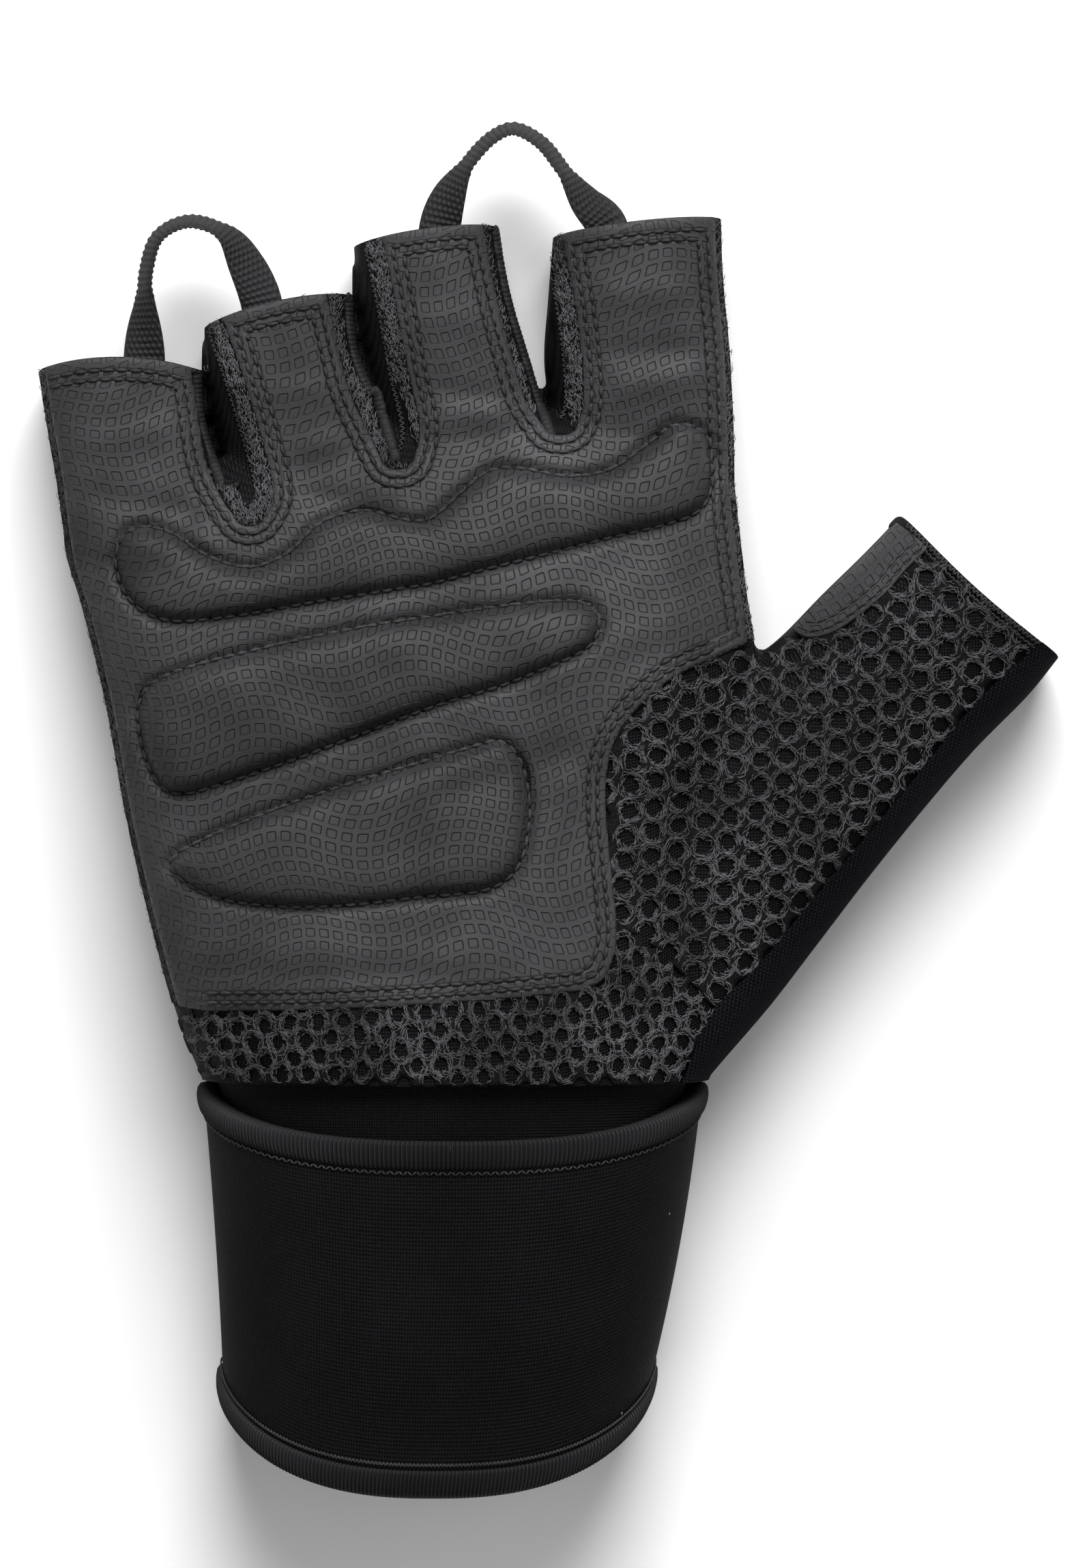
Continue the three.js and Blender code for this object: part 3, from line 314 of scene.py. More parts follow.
def mesh_of(points, faces, name="work"):
    mesh = bpy.data.meshes.new(name)
    mesh.from_pydata([tuple(p) for p in np.asarray(points).tolist()], [], [tuple(f) for f in faces])
    mesh.update()
    return mesh


def arrays_of(mesh):
    points = np.empty(len(mesh.vertices) * 3)
    mesh.vertices.foreach_get("co", points)
    return points.reshape(-1, 3), [tuple(polygon.vertices) for polygon in mesh.polygons]


def shaped(mesh, *steps):
    """The mesh after modifiers, each given as its type and its settings."""
    holder = bpy.data.objects.new("work", mesh)
    bpy.context.scene.collection.objects.link(holder)
    for kind, settings in steps:
        modifier = holder.modifiers.new(kind, kind)
        for key, value in settings.items():
            setattr(modifier, key, value)
    graph = bpy.context.evaluated_depsgraph_get()
    result = bpy.data.meshes.new_from_object(holder.evaluated_get(graph), depsgraph=graph)
    bpy.data.objects.remove(holder)
    return result


def combined(mesh, other, operation):
    tool = bpy.data.objects.new("tool", other)
    bpy.context.scene.collection.objects.link(tool)
    result = shaped(mesh, ("BOOLEAN", {"object": tool, "operation": operation, "solver": "MANIFOLD"}))
    bpy.data.objects.remove(tool)
    return result


def softened(mesh, voxel, rounds):
    return shaped(mesh, ("REMESH", {"mode": "VOXEL", "voxel_size": voxel}),
                  ("SMOOTH", {"factor": 0.5, "iterations": rounds}))


def prism(outline, low, high):
    outline = np.asarray(outline, float)
    count = len(outline)
    turn = np.cross(outline, np.roll(outline, -1, axis=0)).sum()
    if turn < 0:
        outline = outline[::-1]
    points = np.vstack([np.column_stack([outline, np.full(count, low)]),
                        np.column_stack([outline, np.full(count, high)])])
    faces = [tuple(range(count - 1, -1, -1)), tuple(range(count, 2 * count))]
    faces += [(i, (i + 1) % count, count + (i + 1) % count, count + i) for i in range(count)]
    return mesh_of(points, faces)


@functools.lru_cache(maxsize=None)
def hand_arrays(grow):
    """The whole hand as one smooth closed surface, grown outward."""
    points, faces = [], []
    angles = np.arange(TUBE_SIDES) * 2 * np.pi / TUBE_SIDES
    for rows in tubes():
        start = sum(len(p) for p in points)
        rings = np.array([section(row, angles, grow) for row in rows])
        points.append(rings.reshape(-1, 3))
        faces += [tuple(f) for f in grid_faces(len(rings), TUBE_SIDES) + start]
        faces.append(tuple(start + i for i in range(TUBE_SIDES - 1, -1, -1)))
        faces.append(tuple(start + (len(rings) - 1) * TUBE_SIDES + i for i in range(TUBE_SIDES)))
    return arrays_of(softened(mesh_of(np.vstack(points), faces), VOXEL, 5))


def hand_mesh(grow):
    return mesh_of(*hand_arrays(grow))


def hem_line(name, x):
    """How far along the hem of a finger lies at a place across it."""
    row = finger_rows(name)[-1]
    share = (x - row[0]) / (row[2] - row[0])
    bowed = row[6] * (1 - (2 * np.clip(share, 0, 1) - 1) ** 2)
    return mix(row[1], row[3], share) + bowed


MOUTH_BOW = 1.3


def trim_outline():
    """Plan of the hand, with its hems as its upper edge."""
    names = list(FINGERS)
    rows = [finger_rows(name)[-1] for name in names]
    cuts = [-75.0] + [(a[2] + b[0]) / 2 for a, b in zip(rows, rows[1:])] + [64.0]
    outline = [(-75.0, 0.0)]
    for name, a, b in zip(names, cuts, cuts[1:]):
        xs = np.linspace(a, b, 24)
        outline += list(zip(xs, hem_line(name, xs)))
    inner, outer = thumb_rows()[0][0:2], thumb_rows()[0][2:4]
    way = (outer - inner) / np.linalg.norm(outer - inner)
    outline += [tuple(inner - way * 24), *map(tuple, mouth_line(13)), tuple(outer + way * 20), (125.0, 0.0)]
    return outline


# Fields over the plan

def inside_distance(outline, x=PLAN_X, y=PLAN_Y):
    """Distance to a closed outline, positive inside."""
    outline = np.asarray(outline, float)
    nearest = np.full(np.shape(x), 1e9)
    crossings = np.zeros(np.shape(x), bool)
    for (ax, ay), (bx, by) in zip(outline, np.roll(outline, -1, axis=0)):
        dx, dy = bx - ax, by - ay
        length = dx * dx + dy * dy
        if length < 1e-12:
            continue
        t = np.clip(((x - ax) * dx + (y - ay) * dy) / length, 0, 1)
        nearest = np.minimum(nearest, (x - ax - t * dx) ** 2 + (y - ay - t * dy) ** 2)
        if ay != by:
            crossings ^= ((ay > y) != (by > y)) & (x < dx * (y - ay) / dy + ax)
    return np.where(crossings, 1, -1) * np.sqrt(nearest)


def sample(field, x, y):
    u = np.clip((np.asarray(x) - GRID_X[0]) / GRID_STEP, 0, len(GRID_X) - 1.001)
    v = np.clip((np.asarray(y) - GRID_Y[0]) / GRID_STEP, 0, len(GRID_Y) - 1.001)
    i, j = u.astype(int), v.astype(int)
    s, t = u - i, v - j
    low = field[j, i] * (1 - s) + field[j, i + 1] * s
    high = field[j + 1, i] * (1 - s) + field[j + 1, i + 1] * s
    return low * (1 - t) + high * t


def blurred(field, sigma):
    reach = int(3 * sigma / GRID_STEP) + 1
    kernel = np.exp(-0.5 * (np.arange(-reach, reach + 1) * GRID_STEP / sigma) ** 2)
    kernel /= kernel.sum()
    out = np.pad(field, reach, mode="edge")
    out = sum(w * out[:, k:k + field.shape[1]] for k, w in enumerate(kernel))
    return sum(w * out[k:k + field.shape[0], :] for k, w in enumerate(kernel))


@functools.lru_cache(maxsize=None)
def silhouette():
    """Distance inside the hand's plan."""
    best = np.full(PLAN_X.shape, -1e9)
    for rows in tubes():
        best = np.maximum(best, inside_distance(np.vstack([rows[:, 0:2], rows[::-1, 2:4]])))
    return np.minimum(best, inside_distance(trim_outline()))


STEEPEST = 3.0


@functools.lru_cache(maxsize=None)
def skin_height():
    """Height of the hand's front over the plan, carried on smoothly past the silhouette."""
    points, faces = hand_arrays(0.0)
    tree = BVHTree.FromPolygons([tuple(p) for p in points.tolist()], faces)
    down = Vector((0, 0, -1))
    height = np.full(PLAN_X.shape, np.nan)
    near = silhouette() > -2.0
    for j, i in zip(*np.nonzero(near)):
        hit = tree.ray_cast(Vector((GRID_X[i], GRID_Y[j], PRISM_TOP)), down)[0]
        if hit is not None:
            height[j, i] = hit.z
    known = ~np.isnan(height)
    filled = np.where(known, height, 0)
    weight = known.astype(float)
    for sigma in (0.8, 2.0, 6.0, 20.0):
        near_weight = blurred(weight, sigma)
        spread = blurred(filled, sigma) / np.maximum(near_weight, 1e-9)
        take = np.isnan(height) & (near_weight > 1e-4)
        height[take] = spread[take]
    height[np.isnan(height)] = SEAM_HEIGHT
    return blurred(height, 0.6)


def over_skin(lift, blur=0.8):
    """A height that keeps a sheet clear of the skin, on its steep sides as well."""
    skin = skin_height()
    high = skin.copy()
    for shift in ((0, 1), (0, -1), (1, 0), (-1, 0)):
        high = np.maximum(high, np.roll(skin, shift, axis=(0, 1)))
    high = blurred(high, blur)
    down, across = np.gradient(high, GRID_STEP)
    return high + lift * np.minimum(np.sqrt(1 + down**2 + across**2), STEEPEST)


def palm_points(rows):
    return np.asarray(rows, float) * (PALM_WIDTH, PALM_LENGTH)


def thumb_points(rows):
    return np.asarray(rows, float) * (THUMB_REACH, PALM_LENGTH)


def slot_edge(slot, side):
    names = list(FINGERS)
    k = list(SLOTS).index(slot)
    bottom, rows = SLOTS[slot]
    base, length, tilt, _, _ = FINGERS[names[k] if side == "left" else names[k + 1]]
    hem = base * PALM_LENGTH + length + (tilt / 2 if side == "left" else -tilt / 2)
    column = 1 if side == "left" else 2
    edge = [(row[column] * PALM_WIDTH, mix(bottom * PALM_LENGTH, hem, row[0])) for row in rows]
    return np.array(edge)


def outer_edge():
    rows = palm_rows()
    share = (HEEL_TOP * PALM_LENGTH - rows[1][1]) / (rows[2][1] - rows[1][1])
    start = mix(rows[1][0:2], rows[2][0:2], share)
    edge = np.vstack([start, rows[2:7, 0:2], finger_rows("pinky")[2:, 0:2]])
    return edge + (OUTER_STRIP, 0)


def index_edge():
    rows = palm_rows()
    edge = np.vstack([finger_rows("index")[1:, 2:4][::-1], rows[5:7, 2:4][::-1],
                      (rows[4][2], CROTCH_ALONG * PALM_LENGTH)])
    return edge - (INDEX_STRIP, 0)


HEM_REACH = 12.0


def slot_curve(slot):
    """The leather's edge round one slot, from the left hem down and up to the right one."""
    left = spline(slot_edge(slot, "left"), 6)[::-1]
    right = spline(slot_edge(slot, "right"), 6)
    a, b = left[-1], right[0]
    middle, half = (a + b) / 2, (b - a) / 2
    dip = np.linalg.norm(half) * 0.62
    turn = np.linspace(np.pi, 2 * np.pi, 13)[1:-1]
    bottom = middle + np.cos(turn)[:, None] * half + np.column_stack([np.zeros(11), np.sin(turn) * dip])
    return np.vstack([left + (0, dip * 0.5), bottom + (0, dip * 0.5), right + (0, dip * 0.5)])


HEM_MARGIN = 0.1
HEM_TURN = 0.9
FAR_OUT = 30.0


@functools.lru_cache(maxsize=None)
def leather_inside(margin=HEM_MARGIN, outward=0.0):
    """Distance inside the palm leather's outline, its hems set back by a margin."""
    outline = list(spline(outer_edge() - (outward, 0), 5))
    outline.append(outline[-1] + (0, HEM_REACH))
    for slot in SLOTS:
        edge = slot_curve(slot)
        outline += [edge[0] + (0, HEM_REACH), *edge, edge[-1] + (0, HEM_REACH)]
    edge = spline(index_edge(), 5)
    outline += [edge[0] + (0, HEM_REACH), *edge]
    outline += list(spline(palm_points(THUMB_SEAM), 5))
    outline += list(spline(palm_points([THUMB_SEAM[-1]] + HEEL_EDGE), 5))[1:]
    field = inside_distance(outline)
    names = list(FINGERS)
    rows = [finger_rows(name)[-1] for name in names]
    cuts = [-200.0] + [(a[2] + b[0]) / 2 for a, b in zip(rows, rows[1:])] + [200.0]
    for name, a, b in zip(names, cuts, cuts[1:]):
        here = (PLAN_X >= a) & (PLAN_X < b) & (PLAN_Y > 0.9 * PALM_LENGTH)
        hem = hem_line(name, PLAN_X) - PLAN_Y - margin
        field = np.where(here, np.minimum(field, hem), field)
    return field


@functools.lru_cache(maxsize=None)
def pad_inside(name):
    rows = np.array(PADS[name])
    upper = spline(palm_points(rows[:, [0, 1]]), 5)
    lower = spline(palm_points(rows[:, [0, 2]]), 5)
    return inside_distance(np.vstack([upper, lower[::-1]]))


LEATHER_LIFT = 0.9
GROOVE_DEPTH = 1.05
GROOVE_WIDTH = 1.0
PAD_RISE = 2.35
PAD_SHOULDER = 5.0
EDGE_ROLL = 0.6


@functools.lru_cache(maxsize=None)
def leather_height():
    """Height of the leather's face over the plan."""
    height = over_skin(LEATHER_LIFT)
    quiet = smooth((leather_inside() - 2.5) / 4)
    for ax, ay, bx, by, width, rise in FOLDS:
        dx, dy = bx - ax, by - ay
        t = ((PLAN_X - ax) * dx + (PLAN_Y - ay) * dy) / (dx * dx + dy * dy)
        held = np.clip(t, 0, 1)
        off = np.hypot(PLAN_X - ax - held * dx, PLAN_Y - ay - held * dy)
        height += rise * np.exp(-((off / width) ** 2)) * mix(0.35, 1, quiet)
    ripple = np.sin(PLAN_X * 0.31 + 1.7 * np.sin(PLAN_Y * 0.11)) * np.sin(PLAN_Y * 0.27 + 1.3 * np.sin(PLAN_X * 0.09))
    height += 0.16 * ripple * quiet
    for name in PADS:
        inside = pad_inside(name)
        share = np.clip(inside / PAD_SHOULDER, 0, 1)
        height += PAD_RISE * np.sqrt(1 - (1 - share) ** 2)
        height -= GROOVE_DEPTH * np.exp(-((inside / GROOVE_WIDTH) ** 2))
    edge = np.clip(leather_inside() / EDGE_ROLL, 0, 1)
    return height - 0.35 * (1 - edge) ** 2


def pattern_plan(x, y):
    """Where a point of the leather lies in its embossed pattern, which the making of the panel has pulled askew."""
    u = x + 1.5 * np.sin(y * 0.215 + 0.035 * x) + 0.8 * np.sin(y * 0.09 + x * 0.12) + 0.05 * y
    v = y + 1.6 * np.sin(x * 0.235 + 0.05 * y) + 0.9 * np.sin(x * 0.08 - y * 0.11) - 0.06 * x
    return u, v


# Pieces

def add_piece(name, mesh, material, stands_for=(), sharp=35.0):
    piece = bpy.data.objects.new(name, mesh)
    bpy.context.scene.collection.objects.link(piece)
    mesh.name = name
    mesh.materials.clear()
    for one in material if isinstance(material, (list, tuple)) else [material]:
        mesh.materials.append(one)
    mesh.shade_smooth()
    mesh.set_sharp_from_angle(angle=math.radians(sharp))
    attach(piece, "root")
    if stands_for:
        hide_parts(*stands_for)
    return piece


def placed(points):
    return (np.asarray(points) + ORIGIN) * MM


def moved(mesh):
    """A mesh in millimetres, moved into the frame of the solids."""
    points, _ = arrays_of(mesh)
    mesh.vertices.foreach_set("co", placed(points).ravel())
    mesh.update()
    return mesh


def add_values(mesh, name, values):
    values = np.asarray(values, float)
    kind = "FLOAT" if values.ndim == 1 else "FLOAT_VECTOR"
    attribute = mesh.attributes.new(name, kind, "POINT")
    attribute.data.foreach_set("value" if values.ndim == 1 else "vector", values.ravel())


def clipped(field, step=1):
    """Plan grid of the places where a field is positive, its edge cut along the field's zero line."""
    field = field[::step, ::step]
    xs, ys = GRID_X[::step], GRID_Y[::step]
    inside = field >= 0
    number = np.full(field.shape, -1)
    rows, columns = np.nonzero(inside)
    number[rows, columns] = np.arange(len(rows))
    points = list(zip(xs[columns], ys[rows]))
    count = inside[:-1, :-1].astype(int) + inside[:-1, 1:] + inside[1:, 1:] + inside[1:, :-1]
    j, i = np.nonzero(count == 4)
    faces = np.stack([number[j, i], number[j, i + 1], number[j + 1, i + 1], number[j + 1, i]], -1).tolist()
    crossing = {}

    def cross(a, b):
        key = (a, b) if a < b else (b, a)
        if key not in crossing:
            (aj, ai), (bj, bi) = key
            fa, fb = field[aj, ai], field[bj, bi]
            t = fa / (fa - fb)
            crossing[key] = len(points)
            points.append((xs[ai] + (xs[bi] - xs[ai]) * t, ys[aj] + (ys[bj] - ys[aj]) * t))
        return crossing[key]

    for j, i in zip(*np.nonzero((count > 0) & (count < 4))):
        corners = [(j, i), (j, i + 1), (j + 1, i + 1), (j + 1, i)]
        face = []
        for a, b in zip(corners, corners[1:] + corners[:1]):
            if inside[a]:
                face.append(number[a])
            if inside[a] != inside[b]:
                face.append(cross(a, b))
        if len(face) >= 3:
            faces.append(face)
    return np.array(points), faces


def draped(name, field, height, thickness, step=1):
    """A sheet of cloth cut along a field's zero line and laid at a height."""
    plan, faces = clipped(field, step)
    x, y = plan.T
    mesh = mesh_of(placed(np.column_stack([plan, sample(height, x, y)])), faces, name)
    return mesh, x, y


def thicken(piece, thickness):
    modifier = piece.modifiers.new("Thickness", "SOLIDIFY")
    modifier.thickness = thickness * MM
    modifier.offset = -1
    return piece


# Curves and stitches

def resampled(points, spacing, closed=False):
    points = np.asarray(points, float)
    if closed:
        points = np.vstack([points, points[:1]])
    lengths = np.linalg.norm(np.diff(points, axis=0), axis=1)
    at = np.concatenate([[0], np.cumsum(lengths)])
    count = max(2, int(round(at[-1] / spacing)) + 1)
    goals = np.linspace(0, at[-1], count)
    return np.column_stack([np.interp(goals, at, points[:, k]) for k in range(points.shape[1])])


def on_level(points, field, level, rounds=4):
    """Plan points moved onto the line where a field has a level."""
    points = np.array(points, float)
    for _ in range(rounds):
        x, y = points.T
        slope = np.column_stack([sample(field, x + 0.4, y) - sample(field, x - 0.4, y),
                                 sample(field, x, y + 0.4) - sample(field, x, y - 0.4)]) / 0.8
        size = np.maximum((slope**2).sum(1), 0.3)
        points += slope * ((level - sample(field, x, y)) / size)[:, None] * 0.9
    return points


def level_line(start, field, level, ok=None):
    """Runs of a level line near a guide curve, broken where ok is false."""
    line = on_level(resampled(start, 0.5), field, level)
    good = np.abs(sample(field, *line.T) - level) < 0.25
    if ok is not None:
        good &= ok(*line.T)
    runs, run = [], []
    for point, fine in zip(line, good):
        if fine and (not run or np.linalg.norm(point - run[-1]) < 2.5):
            run.append(point)
        else:
            if len(run) > 6:
                runs.append(np.array(run))
            run = [point] if fine else []
    if len(run) > 6:
        runs.append(np.array(run))
    return runs


STITCH_RINGS = np.array([(0.0, 0.25), (0.14, 0.75), (0.36, 1.0), (0.64, 1.0), (0.86, 0.75), (1.0, 0.25)])


def stitch_arrays(starts, ends, ups, radius, arch):
    """Short rounded threads from each start to its end, arched away from the cloth."""
    way = ends - starts
    side = np.cross(way, ups)
    side /= np.maximum(np.linalg.norm(side, axis=1, keepdims=True), 1e-9)
    angles = np.arange(6) * np.pi / 3
    points = []
    for share, size in STITCH_RINGS:
        centre = starts + way * share + ups * (arch * math.sin(math.pi * share))
        for angle in angles:
            points.append(centre + (side * math.cos(angle) + ups * math.sin(angle)) * radius * size)
    points = np.array(points).transpose(1, 0, 2)
    base = grid_faces(len(STITCH_RINGS), 6)
    last = (len(STITCH_RINGS) - 1) * 6
    faces = []
    for k in range(len(starts)):
        offset = k * len(STITCH_RINGS) * 6
        faces += (base + offset).tolist()
        faces.append([offset + i for i in range(5, -1, -1)])
        faces.append([offset + last + i for i in range(6)])
    return points.reshape(-1, 3), faces


def row_of_stitches(line, height, pitch, radius, gap=0.35, sink=0.05):
    """Starts, ends and upward ways of the stitches along a plan line that lies on a height field."""
    knots = resampled(line, pitch)
    z = sample(height, *knots.T)
    knots = np.column_stack([knots, z + radius * 0.4 - sink])
    way = np.diff(knots, axis=0)
    length = np.linalg.norm(way, axis=1, keepdims=True)
    unit = way / np.maximum(length, 1e-9)
    return knots[:-1] + unit * gap / 2, knots[1:] - unit * gap / 2, field_normals(height, knots[:-1])


def field_normals(height, points):
    x, y = points[:, 0], points[:, 1]
    gx = (sample(height, x + 0.5, y) - sample(height, x - 0.5, y))
    gy = (sample(height, x, y + 0.5) - sample(height, x, y - 0.5))
    normal = np.column_stack([-gx, -gy, np.ones(len(x))])
    return normal / np.linalg.norm(normal, axis=1, keepdims=True)


def ribbons(paths, ups, width):
    """Flat yarns: paths is yarns by points by 3."""
    count, steps, _ = paths.shape
    way = np.gradient(paths, axis=1)
    side = np.cross(way, ups[:, None, :])
    side /= np.maximum(np.linalg.norm(side, axis=2, keepdims=True), 1e-9)
    taper = np.sin(np.linspace(0.25, np.pi - 0.25, steps))[None, :, None]
    half = side * width * 0.5 * taper
    crown = ups[:, None, :] * width * 0.35
    points = np.stack([paths - half, paths + crown, paths + half], axis=2)
    base = []
    for k in range(steps - 1):
        a = k * 3
        base += [(a, a + 1, a + 4, a + 3), (a + 1, a + 2, a + 5, a + 4)]
    base = np.array(base)
    faces = (base[None] + (np.arange(count) * steps * 3)[:, None, None]).reshape(-1, 4)
    return points.reshape(-1, 3), faces.tolist()


def joined_arrays(parts):
    points, faces = [], []
    start = 0
    for p, f in parts:
        points.append(p)
        faces += [[i + start for i in face] for face in f]
        start += len(p)
    return np.vstack(points), faces


# Materials

class Graph:
    """Small helper that adds and links shader nodes."""

    def __init__(self, tree):
        self.tree = tree

    def node(self, kind, **settings):
        node = self.tree.nodes.new(kind)
        for key, value in settings.items():
            setattr(node, key, value)
        node.location = (len(self.tree.nodes) * 180 % 1800, -(len(self.tree.nodes) // 10) * 220)
        return node

    def put(self, socket, value):
        if isinstance(value, bpy.types.NodeSocket):
            self.tree.links.new(value, socket)
        else:
            socket.default_value = value

    def math(self, operation, *values, clamp=False):
        node = self.node("ShaderNodeMath", operation=operation, use_clamp=clamp)
        for socket, value in zip(node.inputs, values):
            self.put(socket, value)
        return node.outputs[0]

    def step(self, value, low, high, to_low=0.0, to_high=1.0):
        node = self.node("ShaderNodeMapRange", interpolation_type="SMOOTHSTEP")
        for socket, one in zip(node.inputs, (value, low, high, to_low, to_high)):
            self.put(socket, one)
        return node.outputs[0]

    def noise(self, vector, scale, detail=3.0, rough=0.55, distortion=0.0):
        node = self.node("ShaderNodeTexNoise")
        self.put(node.inputs["Vector"], vector)
        for key, value in (("Scale", scale), ("Detail", detail), ("Roughness", rough), ("Distortion", distortion)):
            self.put(node.inputs[key], value)
        return node.outputs[0]

    def mix_colour(self, factor, a, b):
        node = self.node("ShaderNodeMix", data_type="RGBA")
        self.put(node.inputs[0], factor)
        self.put(node.inputs[6], a)
        self.put(node.inputs[7], b)
        return node.outputs[2]

    def group(self, tree, **values):
        node = self.node("ShaderNodeGroup", node_tree=tree)
        for key, value in values.items():
            self.put(node.inputs[key.replace("_", " ")], value)
        return node


def new_group(name, inputs, outputs):
    tree = bpy.data.node_groups.new(name, "ShaderNodeTree")
    for label, kind, default in inputs:
        socket = tree.interface.new_socket(label, in_out="INPUT", socket_type="NodeSocket" + kind)
        if default is not None:
            socket.default_value = default
    for label in outputs:
        tree.interface.new_socket(label, in_out="OUTPUT", socket_type="NodeSocketFloat")
    graph = Graph(tree)
    start = graph.node("NodeGroupInput")
    end = graph.node("NodeGroupOutput")
    return tree, graph, start.outputs, end.inputs


@functools.lru_cache(maxsize=None)
def cloth_grain():
    """Fine uneven grain that any cloth has: a shade and a height."""
    tree, g, start, end = new_group("Cloth grain", [("Vector", "Vector", None), ("Fineness", "Float", 2.0)],
                                    ["Shade", "Height"])
    broad = g.noise(start["Vector"], 0.06, 4.0, 0.6)
    fine = g.noise(start["Vector"], start["Fineness"], 2.0, 0.6)
    g.put(end["Shade"], g.math("ADD", g.math("MULTIPLY", broad, 0.6), g.math("MULTIPLY", fine, 0.4)))
    g.put(end["Height"], fine)
    return tree


@functools.lru_cache(maxsize=None)
def embossed_squares():
    """Rows of small pressed squares with a cut outline: a height, and a painted shade along the outline's groove."""
    tree, g, start, end = new_group("Embossed squares", [
        ("Vector", "Vector", None), ("Pitch", "Float", 2.22), ("Size", "Float", 0.31), ("Flat", "Float", 0.0)],
        ["Height", "Line"])
    split = g.node("ShaderNodeSeparateXYZ")
    g.put(split.inputs[0], start["Vector"])
    sides = []
    for k in range(2):
        cell = g.math("FRACT", g.math("DIVIDE", split.outputs[k], start["Pitch"]))
        sides.append(g.math("POWER", g.math("ABSOLUTE", g.math("SUBTRACT", cell, 0.5)), 7.0))
    reach = g.math("POWER", g.math("ADD", sides[0], sides[1]), 1 / 7)
    off = g.math("ABSOLUTE", g.math("SUBTRACT", reach, start["Size"]))
    line = g.step(off, 0.015, 0.05, 1.0, 0.0)
    floor = g.step(reach, g.math("SUBTRACT", start["Size"], 0.03), g.math("ADD", start["Size"], 0.02), 1.0, 0.0)
    keep = g.math("SUBTRACT", 1.0, start["Flat"])
    depth = g.math("ADD", g.math("MULTIPLY", line, -0.08), g.math("MULTIPLY", floor, -0.15))
    g.put(end["Height"], g.math("MULTIPLY", depth, keep))
    # The outline also goes out as painted shade, which darkens the colour in the groove.
    g.put(end["Line"], g.math("MULTIPLY", line, keep))
    return tree


@functools.lru_cache(maxsize=None)
def fine_knit():
    """Fine diagonal knit: a height, and a shade that is painted lighter on the raised loops and darker between them,
    mixed with uneven tone.
    """
    tree, g, start, end = new_group("Fine knit", [("Vector", "Vector", None), ("Pitch", "Float", 0.45)],
                                    ["Height", "Shade"])
    split = g.node("ShaderNodeSeparateXYZ")
    g.put(split.inputs[0], start["Vector"])
    turn = g.math("DIVIDE", 6.2832, start["Pitch"])
    along = g.math("MULTIPLY", g.math("ADD", split.outputs[1], g.math("MULTIPLY", split.outputs[2], 1.0)), turn)
    across = g.math("MULTIPLY", g.math("SUBTRACT", split.outputs[0], g.math("MULTIPLY", split.outputs[2], 0.4)), turn)
    rib = g.math("SINE", g.math("ADD", across, g.math("MULTIPLY", g.math("SINE", along), 0.9)))
    loop = g.math("SINE", g.math("ADD", along, g.math("MULTIPLY", rib, 0.6)))
    both = g.math("ADD", g.math("MULTIPLY", rib, 0.6), g.math("MULTIPLY", loop, 0.4))
    fuzz = g.noise(start["Vector"], 3.5, 2.0, 0.6)
    g.put(end["Height"], g.math("ADD", g.math("MULTIPLY", both, 0.5), g.math("MULTIPLY", fuzz, 0.6)))
    # The ribs and loops go into the shade as painted highlight on the raised yarn and painted shade between.
    g.put(end["Shade"], g.math("ADD", g.math("MULTIPLY", fuzz, 0.6), g.math("MULTIPLY", both, 0.24)))
    return tree


@functools.lru_cache(maxsize=None)
def fuzzy_yarn():
    """Tangle of curled yarns: a height and a light mask."""
    tree, g, start, end = new_group("Fuzzy yarn", [("Vector", "Vector", None), ("Scale", "Float", 1.5)],
                                    ["Height", "Mask"])
    coarse = g.noise(start["Vector"], start["Scale"], 3.0, 0.7, 1.6)
    strands = g.math("ABSOLUTE", g.math("SUBTRACT", coarse, 0.5))
    mask = g.step(strands, 0.02, 0.1, 1.0, 0.0)
    cell = g.node("ShaderNodeTexVoronoi", feature="DISTANCE_TO_EDGE")
    g.put(cell.inputs["Vector"], start["Vector"])
    g.put(cell.inputs["Scale"], start["Scale"])
    second = g.step(cell.outputs["Distance"], 0.02, 0.14, 1.0, 0.0)
    both = g.math("MAXIMUM", mask, g.math("MULTIPLY", second, 0.75))
    g.put(end["Mask"], both)
    g.put(end["Height"], both)
    return tree


def new_material(name, roughness, sheen=0.0, sheen_roughness=0.5, specular=0.4):
    material = bpy.data.materials.new(name)
    material.use_nodes = True
    graph = Graph(material.node_tree)
    shader = material.node_tree.nodes["Principled BSDF"]
    shader.inputs["Roughness"].default_value = roughness
    shader.inputs["Specular IOR Level"].default_value = specular
    shader.inputs["Sheen Weight"].default_value = sheen
    shader.inputs["Sheen Roughness"].default_value = sheen_roughness
    return material, graph, shader


def object_mm(g):
    """Place on the glove in millimetres."""
    where = g.node("ShaderNodeTexCoord").outputs["Object"]
    scaled = g.node("ShaderNodeVectorMath", operation="SCALE")
    g.put(scaled.inputs[0], where)
    scaled.inputs[3].default_value = 1000.0
    return scaled.outputs[0]


def value_of(g, name, vector=False):
    node = g.node("ShaderNodeAttribute", attribute_type="GEOMETRY", attribute_name=name)
    return node.outputs["Vector"] if vector else node.outputs["Fac"]


def bumped(g, shader, height, strength=1.0, distance=0.001):
    bump = g.node("ShaderNodeBump")
    bump.inputs["Strength"].default_value = strength
    bump.inputs["Distance"].default_value = distance
    g.put(bump.inputs["Height"], height)
    g.put(shader.inputs["Normal"], bump.outputs["Normal"])


def tinted(g, shader, factor, dark, light):
    g.put(shader.inputs["Base Color"], g.mix_colour(factor, (*dark, 1), (*light, 1)))


def scaled_colour(colour, factor):
    return tuple(c * factor for c in colour[:3])


